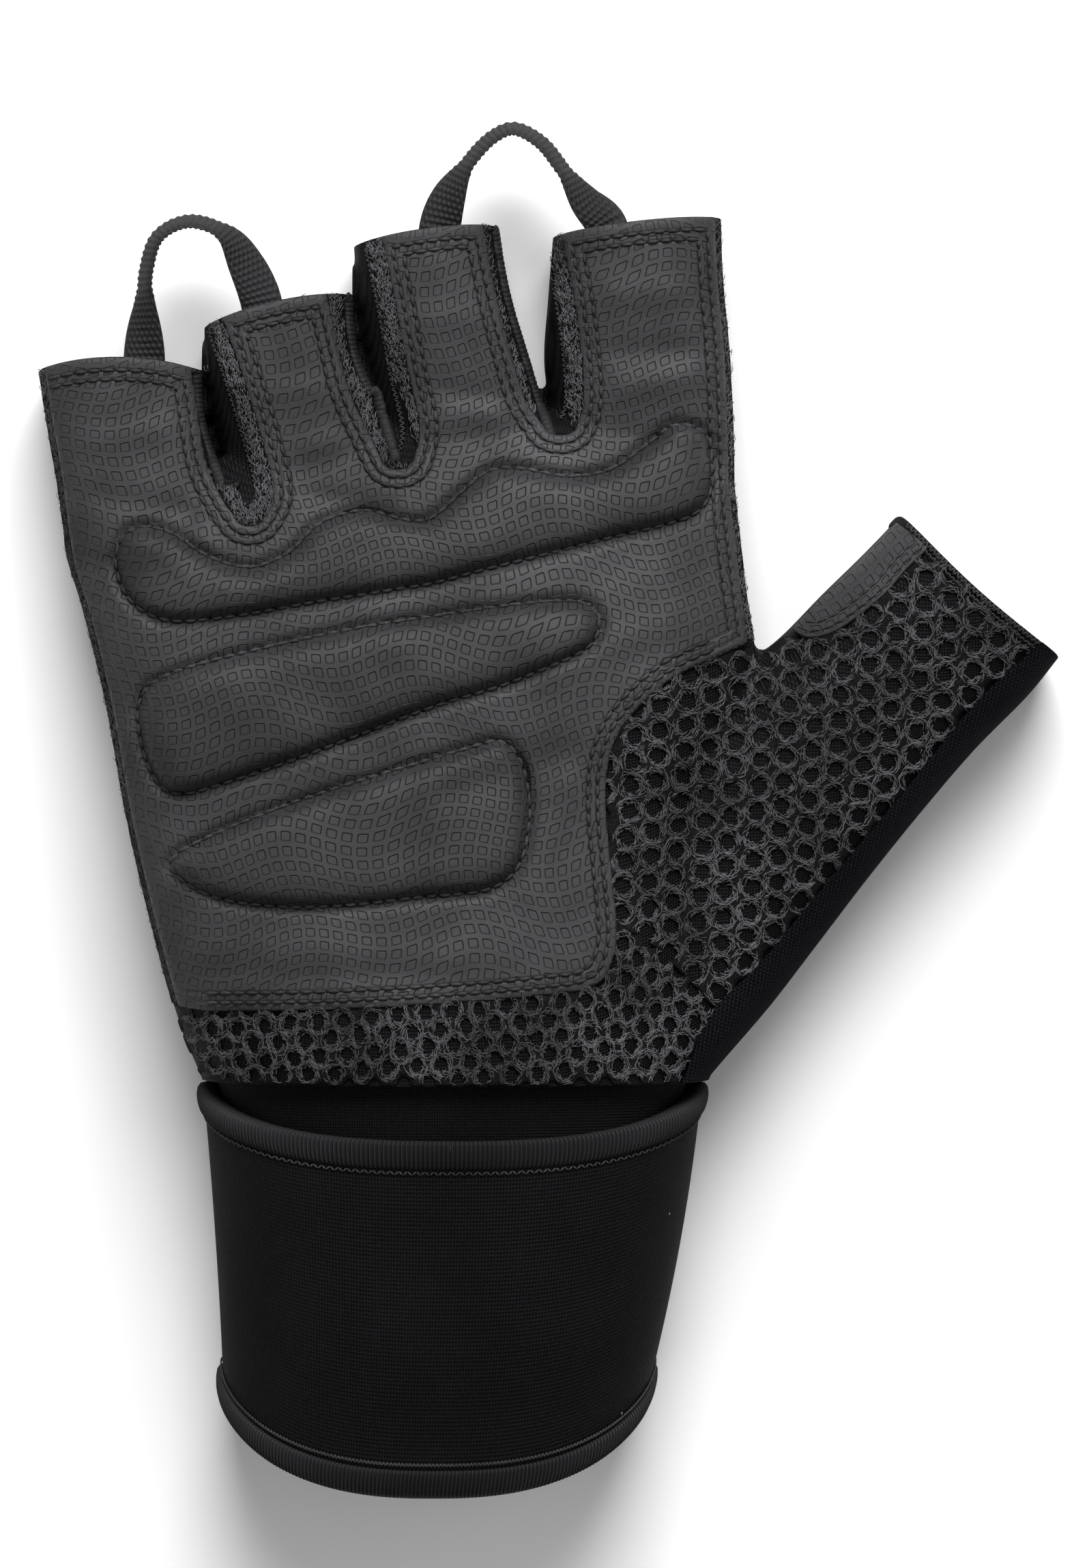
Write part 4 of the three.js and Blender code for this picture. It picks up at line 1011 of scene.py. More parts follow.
@functools.lru_cache(maxsize=None)
def leather_material(name="Embossed leather", painted_shade_tone=1.0):
    look = bpy.context.scene.glove_look
    material, g, shader = new_material(name, 0.5, specular=0.1)
    pattern = value_of(g, "pattern", True)
    edge = value_of(g, "edge")
    where = object_mm(g)
    grain = g.group(cloth_grain(), Vector=where, Fineness=5.5)
    flat = g.step(edge, 0.3, 1.6, 0.5, 0.0)
    squares = g.group(embossed_squares(), Vector=pattern, Pitch=look.square_pitch, Flat=flat)
    channel = g.math("ADD", g.step(g.math("ABSOLUTE", g.math("SUBTRACT", edge, look.first_row)), 0.0, 0.55, 1.0, 0.0),
                     g.step(g.math("ABSOLUTE", g.math("SUBTRACT", edge, look.second_row)), 0.0, 0.55, 1.0, 0.0))
    height = g.math("ADD", squares.outputs["Height"], g.math("MULTIPLY", channel, -0.16))
    height = g.math("ADD", height, g.math("MULTIPLY", grain.outputs["Height"], 0.035))
    bumped(g, shader, height, 1.0)
    # painted_shade_tone scales the whole colour; below 1 it paints shade into the leather.
    dark, light = scaled_colour(look.leather, 0.6 * painted_shade_tone), scaled_colour(look.leather, 1.25 * painted_shade_tone)
    # The squares' outlines are painted darker: painted shade in their grooves.
    shade = g.math("SUBTRACT", g.step(grain.outputs["Shade"], 0.3, 0.7),
                   g.math("MULTIPLY", squares.outputs["Line"], 0.8), clamp=True)
    tinted(g, shader, shade, dark, light)
    g.put(shader.inputs["Roughness"], g.step(grain.outputs["Shade"], 0.3, 0.7, 0.56, 0.42))
    return material


@functools.lru_cache(maxsize=None)
def knit_material(name, colour, pitch, roughness, specular=0.05, around=False, lint=False):
    material, g, shader = new_material(name, roughness, specular=specular)
    where = object_mm(g)
    knit = g.group(fine_knit(), Vector=value_of(g, "pattern", True) if around else where, Pitch=pitch)
    grain = g.group(cloth_grain(), Vector=where, Fineness=1.2)
    bumped(g, shader, g.math("ADD", knit.outputs["Height"], g.math("MULTIPLY", grain.outputs["Height"], 0.4)),
           0.8, 0.00018)
    shade = g.math("ADD", g.math("MULTIPLY", knit.outputs["Shade"], 0.8),
                   g.math("MULTIPLY", grain.outputs["Shade"], 0.4))
    # Colour spreads from 0.2 to 3.6 times the knit's own: painted highlights on the loops and painted shade between
    # them, besides uneven tone.
    dark, light = scaled_colour(colour, 0.2), scaled_colour(colour, 3.6)
    if lint:
        speck = g.node("ShaderNodeTexVoronoi", feature="F1")
        g.put(speck.inputs["Vector"], where)
        g.put(speck.inputs["Scale"], 0.16)
        cloth = g.mix_colour(g.step(shade, 0.25, 0.8), (*dark, 1), (*light, 1))
        fleck = g.step(speck.outputs["Distance"], 0.018, 0.035, 1.0, 0.0)
        g.put(shader.inputs["Base Color"], g.mix_colour(fleck, cloth, (0.25, 0.25, 0.25, 1)))
    else:
        tinted(g, shader, g.step(shade, 0.25, 0.8), dark, light)
    return material


@functools.lru_cache(maxsize=None)
def fuzz_material(name, dark, light, scale):
    material, g, shader = new_material(name, 0.85, specular=0.08)
    where = object_mm(g)
    yarn = g.group(fuzzy_yarn(), Vector=where, Scale=scale)
    grain = g.group(cloth_grain(), Vector=where, Fineness=2.0)
    bumped(g, shader, yarn.outputs["Height"], 1.0, 0.0003)
    shade = g.math("MULTIPLY", yarn.outputs["Mask"], g.step(grain.outputs["Shade"], 0.3, 0.65, 0.45, 1.0))
    tinted(g, shader, shade, dark, light)
    return material


@functools.lru_cache(maxsize=None)
def thread_material(name, colour, ribs=0.0, rows=0.0):
    """Yarn, or a tape of it where ribs and rows give its pitch across and along; a tape's colour is painted darker in
    the grooves between ribs and lighter on their tops.
    """
    material, g, shader = new_material(name, 0.65, specular=0.15)
    where = object_mm(g)
    grain = g.group(cloth_grain(), Vector=where, Fineness=4.0)
    shade = g.step(grain.outputs["Shade"], 0.35, 0.65)
    if ribs:
        split = g.node("ShaderNodeSeparateXYZ")
        g.put(split.inputs[0], value_of(g, "pattern", True))
        wave = g.math("COSINE", g.math("MULTIPLY", split.outputs[0], 2 * math.pi / ribs))
        if rows:
            wave = g.math("MULTIPLY", wave, g.math("COSINE", g.math("MULTIPLY", split.outputs[1], 2 * math.pi / rows)))
        # The wave is 0 in the grooves and 1 on the ribs' tops; in the colour it is painted shade and painted
        # highlight.
        wave = g.math("MULTIPLY_ADD", wave, -0.5, 0.5)
        shade = g.math("ADD", g.math("MULTIPLY", shade, 0.4), g.math("MULTIPLY", wave, 0.6))
        bumped(g, shader, wave, 1.0, 0.00018)
    else:
        bumped(g, shader, grain.outputs["Height"], 0.8, 0.00015)
    tinted(g, shader, shade, scaled_colour(colour, 0.45), scaled_colour(colour, 1.6))
    return material


@functools.lru_cache(maxsize=None)
def stage_material():
    material, g, shader = new_material("Studio floor", 0.9, specular=0.1)
    grain = g.noise(object_mm(g), 0.004, 2.0)
    tinted(g, shader, grain, (0.64, 0.64, 0.64), (0.66, 0.66, 0.66))
    return material


class GloveLook(bpy.types.PropertyGroup):
    """Sizes and colours of the glove's finish."""

    leather: bpy.props.FloatVectorProperty(
        name="Leather", description="Colour of the palm leather", subtype="COLOR", size=3, min=0, max=1,
        default=(0.027, 0.027, 0.0285))
    knit: bpy.props.FloatVectorProperty(
        name="Knit", description="Colour of the back, the collar and the strap", subtype="COLOR", size=3,
        min=0, max=1, default=(0.002, 0.002, 0.0024))
    fleece: bpy.props.FloatVectorProperty(
        name="Fleece", description="Colour of the band along the thumb", subtype="COLOR", size=3, min=0, max=1,
        default=(0.0035, 0.0035, 0.0048))
    yarn: bpy.props.FloatVectorProperty(
        name="Yarn", description="Colour of the net and of the fuzz", subtype="COLOR", size=3, min=0, max=1,
        default=(0.032, 0.032, 0.034))
    thread: bpy.props.FloatVectorProperty(
        name="Thread", description="Colour of the stitches", subtype="COLOR", size=3, min=0, max=1,
        default=(0.02, 0.02, 0.0213))
    square_pitch: bpy.props.FloatProperty(
        name="Square pitch", description="Millimetres from one embossed square to the next", default=2.22,
        min=1, max=6)
    first_row: bpy.props.FloatProperty(
        name="First stitch row", description="Millimetres from the leather's edge to the first row",
        default=1.3, min=0.5, max=6)
    second_row: bpy.props.FloatProperty(
        name="Second stitch row", description="Millimetres from the leather's edge to the second row",
        default=2.8, min=0.5, max=8)
    stitch_pitch: bpy.props.FloatProperty(
        name="Stitch pitch", description="Millimetres from stitch to stitch", default=2.1, min=1, max=5)
    hole: bpy.props.FloatProperty(
        name="Net hole", description="Millimetres across one hole of the thumb's net", default=2.75, min=1, max=4)


def look():
    return bpy.context.scene.glove_look


def knit_cloth():
    return knit_material("Satin knit", tuple(look().knit), 0.5, 0.6)


def strap_cloth():
    return knit_material("Strap knit", tuple(look().knit), 0.55, 0.7, around=True, lint=True)


def collar_cloth():
    return knit_material("Collar knit", tuple(look().knit), 0.46, 0.65, around=True)


def fleece_cloth():
    return knit_material("Brushed fleece", tuple(look().fleece), 0.8, 0.95, 0.03)


def net_cloth():
    return fuzz_material("Net yarn", scaled_colour(look().yarn, 0.05), scaled_colour(look().yarn, 0.25), 1.2)


def fuzz_cloth():
    return fuzz_material("Gusset fuzz", (0.001, 0.001, 0.0011), scaled_colour(look().yarn, 0.35), 1.3)


def thread_cloth():
    return thread_material("Thread", tuple(look().thread))


def yarn_cloth():
    return thread_material("Loose yarn", scaled_colour(look().yarn, 1.7))


def binding_cloth():
    return thread_material("Binding rib", (0.0085, 0.0085, 0.0095), BINDING_PITCH)


def webbing_cloth():
    return thread_material("Loop webbing", (0.009, 0.009, 0.01), 0.9, 1.9)


# Near-black thread for the needle holes: painted shade inside the holes.
def needle_hole_shade_cloth():
    return thread_material("Needle hole painted shade", (0.001, 0.001, 0.001))


# Operators

class GLOVE_OT_shell(bpy.types.Operator):
    """Knit shell of the hand: the back, the side walls and the lining"""

    bl_idname = "glove.shell"
    bl_label = "Knit shell"

    def execute(self, context):
        outer = combined(hand_mesh(0.0), prism(trim_outline(), 0.3, PRISM_TOP), "INTERSECT")
        shell = combined(outer, hand_mesh(-1.6), "DIFFERENCE")
        if not shell.polygons:
            raise RuntimeError("the knit shell came out empty")
        add_piece("knit_shell", moved(shell), knit_cloth(),
                  ("back_panel", "gusset_outer", "gusset_pinky_ring", "gusset_ring_middle",
                   "gusset_middle_index", "gusset_index_side"), 40)
        return {"FINISHED"}


def leather_piece(name, field, stands_for, thickness=0.9, material=None):
    mesh, x, y = draped(name, field, leather_height(), thickness)
    u, v = pattern_plan(x, y)
    add_values(mesh, "pattern", np.column_stack([u, v, np.zeros(len(u))]))
    add_values(mesh, "edge", sample(leather_inside(HEM_TURN, FAR_OUT), x, y))
    piece = add_piece(name, mesh, material or leather_material(), stands_for, 50)
    return thicken(piece, thickness)


class GLOVE_OT_palm(bpy.types.Operator):
    """Embossed palm leather and its three stitched pads"""

    bl_idname = "glove.palm"
    bl_label = "Palm leather and pads"

    def execute(self, context):
        field = leather_inside().copy()
        for name in PADS:
            field = np.minimum(field, 0.02 - pad_inside(name))
        leather_piece("leather_palm", field, ("palm_panel",))
        for name in PADS:
            # The pads take the leather at 0.8 of its colour: painted shade for the raised pads, which the light
            # reaches less than the palm.
            piece = leather_piece("leather_" + name, pad_inside(name), (name,), 1.2,
                                  leather_material("Pad leather painted shade", 0.8))
        return {"FINISHED"}


YARNS_PER_HOLE = 66
NET_YARN = 0.13
NET_A = np.array([0.28, 3.95])
NET_B = np.array([4.09, 0.80])


def net_holes(x, y, way_a, way_b, stretch, radius, seed):
    """Distance outside the nearest hole of a staggered net."""
    matrix = np.linalg.inv(np.column_stack([way_a, way_b]))
    u = matrix[0, 0] * x + matrix[0, 1] * y
    v = matrix[1, 0] * x + matrix[1, 1] * y
    best = np.full(x.shape, 1e9)
    for di in (0, 1):
        for dj in (0, 1):
            i, j = np.floor(u) + di, np.floor(v) + dj
            jitter = np.sin(i * 12.9898 + j * 78.233 + seed) * 0.14
            wobble = np.cos(i * 39.346 + j * 11.135 + seed) * 0.14
            cx = i * way_a[0] + j * way_b[0] + jitter
            cy = i * way_a[1] + j * way_b[1] + wobble
            distance = np.hypot((x - cx) * stretch, (y - cy) / stretch)
            best = np.minimum(best, distance - radius * (1 + 0.4 * jitter))
    return best


def region(outline):
    return inside_distance(np.asarray(outline, float))


def band_outline():
    seam = spline(thumb_points(BAND_SEAM), 5)
    wide = 2 * PALM_WIDTH
    return np.vstack([seam, (wide, seam[-1][1]), (wide, seam[0][1])])


def heel_outline():
    wide = 2 * PALM_WIDTH
    seam = palm_points(HEEL_SEAM)
    return np.vstack([(-wide, HEEL_TOP * PALM_LENGTH), outer_edge()[0], (0, 0.25 * PALM_LENGTH), seam,
                      (-wide, seam[-1][1])])


def patch_outline():
    edge = spline(thumb_points(PATCH_EDGE), 5)
    wide, high = 2 * PALM_WIDTH, 1.2 * PALM_LENGTH
    return np.vstack([edge, (edge[-1][0], high), (wide, high), (wide, edge[0][1])])


def thumb_outline():
    wide = 2 * PALM_WIDTH
    a = palm_points([(0, CROTCH_ALONG), (CROTCH_ACROSS, CROTCH_ALONG), (CROTCH_ACROSS, 1.2)])
    return np.vstack([a, (wide, 1.2 * PALM_LENGTH), (wide, -0.1 * PALM_LENGTH), (0, -0.1 * PALM_LENGTH)])


def rim_outline(grow=0.0):
    first, second = thumb_rows()[0], thumb_rows()[1]
    across = (first[2:4] - first[0:2]) / np.linalg.norm(first[2:4] - first[0:2])
    out = np.array([-across[1], across[0]])
    if np.dot(out, first[0:2] - second[0:2]) < 0:
        out = -out
    centre = (first[0:2] + first[2:4]) / 2
    half = THUMB_REACH / 3
    return [centre + across * a + out * b for a, b in (
        (-half, -THUMB_RIM_WIDTH - grow), (half, -THUMB_RIM_WIDTH - grow), (half, half), (-half, half))]


def net_height(holes):
    return skin_height() + 0.35 + 0.4 * smooth(holes / 0.75)


def net_piece(name, field, holes, stands_for):
    mesh, x, y = draped(name, np.minimum(field, holes), net_height(holes), 0.5)
    piece = add_piece(name, mesh, net_cloth(), stands_for, 60)
    return thicken(piece, 0.45)


def net_strands(name, field, holes, way_a, way_b, stretch, radius, seed):
    """Curled yarns round the holes of a net."""
    random = np.random.default_rng(seed)
    matrix = np.linalg.inv(np.column_stack([way_a, way_b]))
    corners = np.array([(GRID_X[0], GRID_Y[0]), (GRID_X[-1], GRID_Y[0]), (GRID_X[-1], GRID_Y[-1]),
                        (GRID_X[0], GRID_Y[-1])]) @ matrix.T
    low, high = np.floor(corners.min(0)), np.ceil(corners.max(0))
    i, j = np.meshgrid(np.arange(low[0], high[0]), np.arange(low[1], high[1]))
    i, j = i.ravel(), j.ravel()
    cx = i * way_a[0] + j * way_b[0] + np.sin(i * 12.9898 + j * 78.233 + seed) * 0.14
    cy = i * way_a[1] + j * way_b[1] + np.cos(i * 39.346 + j * 11.135 + seed) * 0.14
    keep = sample(field, cx, cy) > 0.2
    cx, cy = cx[keep], cy[keep]
    per = YARNS_PER_HOLE
    cx, cy = np.repeat(cx, per), np.repeat(cy, per)
    count = len(cx)
    reach = radius + random.uniform(-0.1, 0.85, count)
    start = random.uniform(0, 2 * np.pi, count)
    span = random.uniform(0.3, 0.95, count) * np.sign(random.uniform(-1, 1, count))
    lean = random.uniform(-0.38, 0.38, count)
    t = np.linspace(0, 1, 5)
    angle = start[:, None] + span[:, None] * t
    r = reach[:, None] + lean[:, None] * (t - 0.5) * 2
    x = cx[:, None] + np.cos(angle) * r / stretch
    y = cy[:, None] + np.sin(angle) * r * stretch
    z = sample(net_height(holes), x, y) + random.uniform(0, 0.2, count)[:, None] + 0.12 * np.sin(np.pi * t)
    inside = (sample(field, x, y) > 0.1).all(1)
    paths = np.stack([x, y, z], -1)[inside]
    ups = field_normals(skin_height(), paths[:, 2])
    points, faces = ribbons(paths, ups, NET_YARN)
    return add_piece(name, mesh_of(placed(points), faces, name), yarn_cloth(), (), 60)


def mouth_line(count):
    """Plan line of the thumb's mouth, bowed in at the middle."""
    inner, outer = thumb_rows()[0][0:2], thumb_rows()[0][2:4]
    way = (outer - inner) / np.linalg.norm(outer - inner)
    back = np.array([way[1], -way[0]])
    share = np.linspace(0, 1, count)[:, None]
    return mix(inner, outer, share) + back * MOUTH_BOW * (1 - (2 * share - 1) ** 2)


class GLOVE_OT_thumb(bpy.types.Operator):
    """Thumb: net, patch of leather, fleece band and folded rim"""

    bl_idname = "glove.thumb"
    bl_label = "Thumb"

    def execute(self, context):
        rim, band, patch = region(rim_outline()), region(band_outline()), region(patch_outline())
        heel = region(heel_outline())
        field = np.minimum.reduce([region(thumb_outline()), 0.9 - leather_inside(), 0.5 - band, 0.2 - heel,
                                   0.6 - patch, 0.6 - rim, silhouette() - 0.15])
        radius = look().hole / 2
        holes = net_holes(PLAN_X, PLAN_Y, NET_A, NET_B, 1.0, radius, 3)
        net_piece("thumb_net", field, holes, ("thumb_mesh",))
        net_strands("thumb_yarns", field, holes, NET_A, NET_B, 1.0, radius, 3)
        patch_field = np.minimum.reduce([patch, 0.4 - rim, silhouette() - 0.1])
        height = over_skin(0.75)
        mesh, x, y = draped("patch", patch_field, height, 0.7)
        inner = spline(thumb_points(PATCH_EDGE), 5)
        way = (inner[-1] - inner[0]) / np.linalg.norm(inner[-1] - inner[0])
        off = sample(patch, x, y)
        add_values(mesh, "pattern", np.column_stack([x * way[0] + y * way[1], off * 1.1, np.zeros(len(x))]))
        add_values(mesh, "edge", off + FAR_OUT)
        piece = add_piece("thumb_leaf", mesh, leather_material(), ("thumb_patch",), 50)
        thicken(piece, 0.8)
        low = 0.0
        fleece = combined(hand_mesh(0.8), prism(band_outline(), low, PRISM_TOP), "INTERSECT")
        fleece = combined(fleece, prism(trim_outline(), low, PRISM_TOP), "INTERSECT")
        fleece = combined(fleece, hand_mesh(-0.4), "DIFFERENCE")
        add_piece("fleece_band", moved(fleece), fleece_cloth(), ("thumb_band",), 40)
        hem = combined(hand_mesh(0.4), prism(rim_outline(0.3), low, PRISM_TOP), "INTERSECT")
        hem = combined(hem, prism(trim_outline(), low, PRISM_TOP), "INTERSECT")
        hem = combined(hem, hand_mesh(-1.6), "DIFFERENCE")
        hem = softened(hem, 0.45, 4)
        add_piece("thumb_hem", moved(hem), net_cloth(), ("thumb_rim",), 60)
        line = resampled(mouth_line(40), 0.42)[4:-4]
        rows = [overlocked(line, shift, wide) for shift, wide in ((0.6, 0.9), (1.5, 0.5))]
        points, faces = joined_arrays(rows)
        add_piece("thumb_overlock", mesh_of(placed(points), faces), thread_cloth(), (), 60)
        return {"FINISHED"}


def overlocked(line, shift, wide):
    """Zigzag thread beside the mouth of the thumb."""
    way = np.gradient(line, axis=0)
    way /= np.linalg.norm(way, axis=1, keepdims=True)
    back = np.column_stack([way[:, 1], -way[:, 0]])
    side = np.where(np.arange(len(line)) % 2 == 0, -wide, wide)[:, None] / 2
    knots = line + back * (shift + side)
    ups = field_normals(skin_height(), knots)
    knots = np.column_stack([knots, sample(skin_height(), *knots.T) + 0.7])
    return stitch_arrays(knots[:-1], knots[1:], ups[:-1], 0.15, 0.1)


HEEL_A = np.array([1.9, 2.85])
HEEL_B = np.array([4.2, 0.35])
HEEL_STRETCH = 1.11
HEEL_RADIUS = 1.16


class GLOVE_OT_heel(bpy.types.Operator):
    """Net across the heel of the hand"""

    bl_idname = "glove.heel"
    bl_label = "Heel net"

    def execute(self, context):
        heel, band = region(heel_outline()), region(band_outline())
        field = np.minimum.reduce([heel, 0.9 - leather_inside(), 0.5 - band, silhouette() - 0.15, PLAN_Y])
        holes = net_holes(PLAN_X, PLAN_Y, HEEL_A, HEEL_B, HEEL_STRETCH, HEEL_RADIUS, 5)
        net_piece("heel_net", field, holes, ("heel_mesh",))
        net_strands("heel_yarns", field, holes, HEEL_A, HEEL_B, HEEL_STRETCH, HEEL_RADIUS, 5)
        return {"FINISHED"}


FUZZ_WIDTH = 2.6
TAPE_WIDTH = 1.85


@functools.lru_cache(maxsize=None)
def tape_line(finger):
    """Plan line of the binding down the right side of a finger."""
    guide = finger_rows(finger)[1:, 2:4]
    return on_level(resampled(spline(guide, 6), 0.19), silhouette(), TAPE_WIDTH / 2 - 0.45)


def fuzz_field():
    """Where the looped gusset shows beside the leather."""
    crotch = region(thumb_outline())
    heel = region(heel_outline())
    field = np.minimum.reduce([0.5 - leather_inside(), leather_inside() + FUZZ_WIDTH, silhouette() - 0.1,
                               -crotch, -heel])
    half = TAPE_WIDTH / 2 + 0.1
    for finger in list(FINGERS)[:-1]:
        line = tape_line(finger)
        field = np.minimum(field, -region(np.vstack([line - (half, 0), (line + (4, 0))[::-1]])))
    return field


class GLOVE_OT_gussets(bpy.types.Operator):
    """Looped gusset strips beside the leather, with their yarns and overlocked edges"""

    bl_idname = "glove.gussets"
    bl_label = "Gussets"

    def execute(self, context):
        field = fuzz_field()
        height = skin_height() + 0.4
        mesh, x, y = draped("gusset_fuzz", field, height, 0.4)
        thicken(add_piece("gusset_fuzz", mesh, fuzz_cloth(), (), 60), 0.4)
        random = np.random.default_rng(11)
        j, i = np.nonzero(field > 0.15)
        pick = random.integers(0, len(j), 7500)
        cx = GRID_X[i[pick]] + random.uniform(-0.25, 0.25, len(pick))
        cy = GRID_Y[j[pick]] + random.uniform(-0.25, 0.25, len(pick))
        count = len(pick)
        way = random.normal(np.pi / 2, 0.6, count)
        bend = random.uniform(-1.6, 1.6, count)
        length = random.uniform(0.7, 1.7, count)
        t = np.linspace(-0.5, 0.5, 6)
        angle = way[:, None] + bend[:, None] * t
        x = cx[:, None] + np.cumsum(np.cos(angle), 1) * length[:, None] / 6
        y = cy[:, None] + np.cumsum(np.sin(angle), 1) * length[:, None] / 6
        z = sample(height, x, y) + random.uniform(0.0, 0.45, count)[:, None] + 0.35 * np.cos(np.pi * t)
        inside = ((sample(leather_inside(), x, y) < 0.1) & (sample(field, x, y) > -0.35)).all(1)
        paths = np.stack([x, y, z], -1)[inside]
        points, faces = ribbons(paths, field_normals(height, paths[:, 2]), 0.13)
        add_piece("gusset_yarns", mesh_of(placed(points), faces, "gusset_yarns"), yarn_cloth(), (), 60)
        self.slot_trims()
        return {"FINISHED"}

    def slot_trims(self):
        """Ribbed binding down the left of each slot, overlocked edge down its right."""
        tapes, teeth = [], []
        for finger in list(FINGERS)[:-1]:
            line = tape_line(finger)
            line = np.column_stack([line, sample(skin_height(), *line.T) + 0.55])
            way = np.gradient(line, axis=0)
            way /= np.linalg.norm(way, axis=1, keepdims=True)
            ups = field_normals(blurred(skin_height(), 0.8), line)
            side = np.cross(way, ups)
            rib = 1 + 0.22 * np.cos(np.arange(len(line)) * np.pi / 2)
            ring = [(math.cos(t), math.sin(t)) for t in np.arange(10) * np.pi / 5]
            rings = [line + side * (TAPE_WIDTH / 2 * a) + ups * (0.45 * b * rib)[:, None] for a, b in ring]
            points = np.array(rings).transpose(1, 0, 2).reshape(-1, 3)
            faces = grid_faces(len(line), 10).tolist()
            last = (len(line) - 1) * 10
            faces += [list(range(9, -1, -1)), [last + i for i in range(10)]]
            tapes.append((points, faces))
        for slot in SLOTS:
            guide = spline(slot_edge(slot, "right"), 6)
            on_glove = lambda x, y: sample(silhouette(), x, y) > 0.8
            for line in level_line(guide - (FUZZ_WIDTH, 0), leather_inside(), -FUZZ_WIDTH - 0.1, on_glove):
                knots = resampled(line, 0.42)
                ups = field_normals(skin_height(), knots)
                z = sample(skin_height(), *knots.T) + 0.25
                zigzag = np.where(np.arange(len(knots)) % 2 == 0, 0.4, -0.4)
                knots = np.column_stack([knots, z])
                knots[:, 0] += zigzag
                teeth.append(stitch_arrays(knots[:-1], knots[1:], ups[:-1], 0.14, 0.08))
        for name, made, material in (("slot_binding", tapes, binding_cloth()), ("overlock_thread", teeth, thread_cloth())):
            points, faces = joined_arrays(made)
            add_piece(name, mesh_of(placed(points), faces), material, (), 70)


def cuff_row(down, grow):
    middle = (PALM_ROWS[0][0] + PALM_ROWS[0][2]) / 2 * PALM_WIDTH + CUFF_END_DRIFT * down**2
    half = mix(WRIST_WIDTH, CUFF_END_WIDTH, down) / 2 + grow
    y = -2 * SEAM_GAP - CUFF_LENGTH * down
    return np.array([middle - half, y, middle + half, y, mix(WRIST_DEPTH, CUFF_END_DEPTH, down) + grow,
                     WRIST_SQUARE, 0, mix(TOP_RIM_SAG, END_RIM_SAG, down), CUFF_LIFT - grow])


def even_angles(count, down=0.5):
    """Angles that stand evenly round the cuff."""
    fine = np.linspace(0, 2 * np.pi, 4001)
    points = section(cuff_row(down, 0), fine, 0)
    at = np.concatenate([[0], np.cumsum(np.linalg.norm(np.diff(points, axis=0), axis=1))])
    return np.interp(np.arange(count) / count * at[-1], at, fine)


CUFF_GIRTH = 222.0
BINDING_RIBS = 292
BINDING_PITCH = 0.77


def wound(mesh, rings, sides, drop, girth=CUFF_GIRTH):
    """Gives a ring its millimetres round and down, mirrored at one side so that no seam shows."""
    k = np.arange(sides)
    u, v = np.meshgrid(np.minimum(k, sides - k) / sides * girth, drop)
    add_values(mesh, "pattern", np.column_stack([u.ravel(), v.ravel(), np.zeros(rings * sides)]))
    return mesh


def ring_mesh(profile, angles, swell=None, girth=CUFF_GIRTH):
    """Closed ring round the cuff. The profile is pairs of millimetres down and millimetres out."""
    rings = []
    for k, (down, out) in enumerate(profile):
        grown = section(cuff_row(down / CUFF_LENGTH, out), angles, 0)
        if swell is not None:
            centre = section(cuff_row(down / CUFF_LENGTH, out - 1), angles, 0)
            grown = grown + (grown - centre) * swell(k)[:, None]
        rings.append(grown)
    points = np.array(rings)
    mesh = mesh_of(placed(points.reshape(-1, 3)), grid_faces(len(profile), len(angles), True, True)[:, ::-1])
    return wound(mesh, len(profile), len(angles), [down for down, _ in profile], girth)


def binding_mesh(profile):
    angles = even_angles(BINDING_RIBS * 4)
    rib = 0.5 + 0.5 * np.cos(np.arange(len(angles)) * np.pi / 2)
    girth = BINDING_RIBS * BINDING_PITCH
    return ring_mesh(profile, angles, lambda k: -0.32 * rib * (1 if profile[k][1] > -1 else 0.3), girth)


def cuff_line(down, out, count):
    """Points and outward ways round the cuff at one level."""
    angles = even_angles(count)
    outer = section(cuff_row(down / CUFF_LENGTH, out), angles, 0)
    inner = section(cuff_row(down / CUFF_LENGTH, out - 1), angles, 0)
    ups = outer - inner
    return outer, ups / np.linalg.norm(ups, axis=1, keepdims=True)


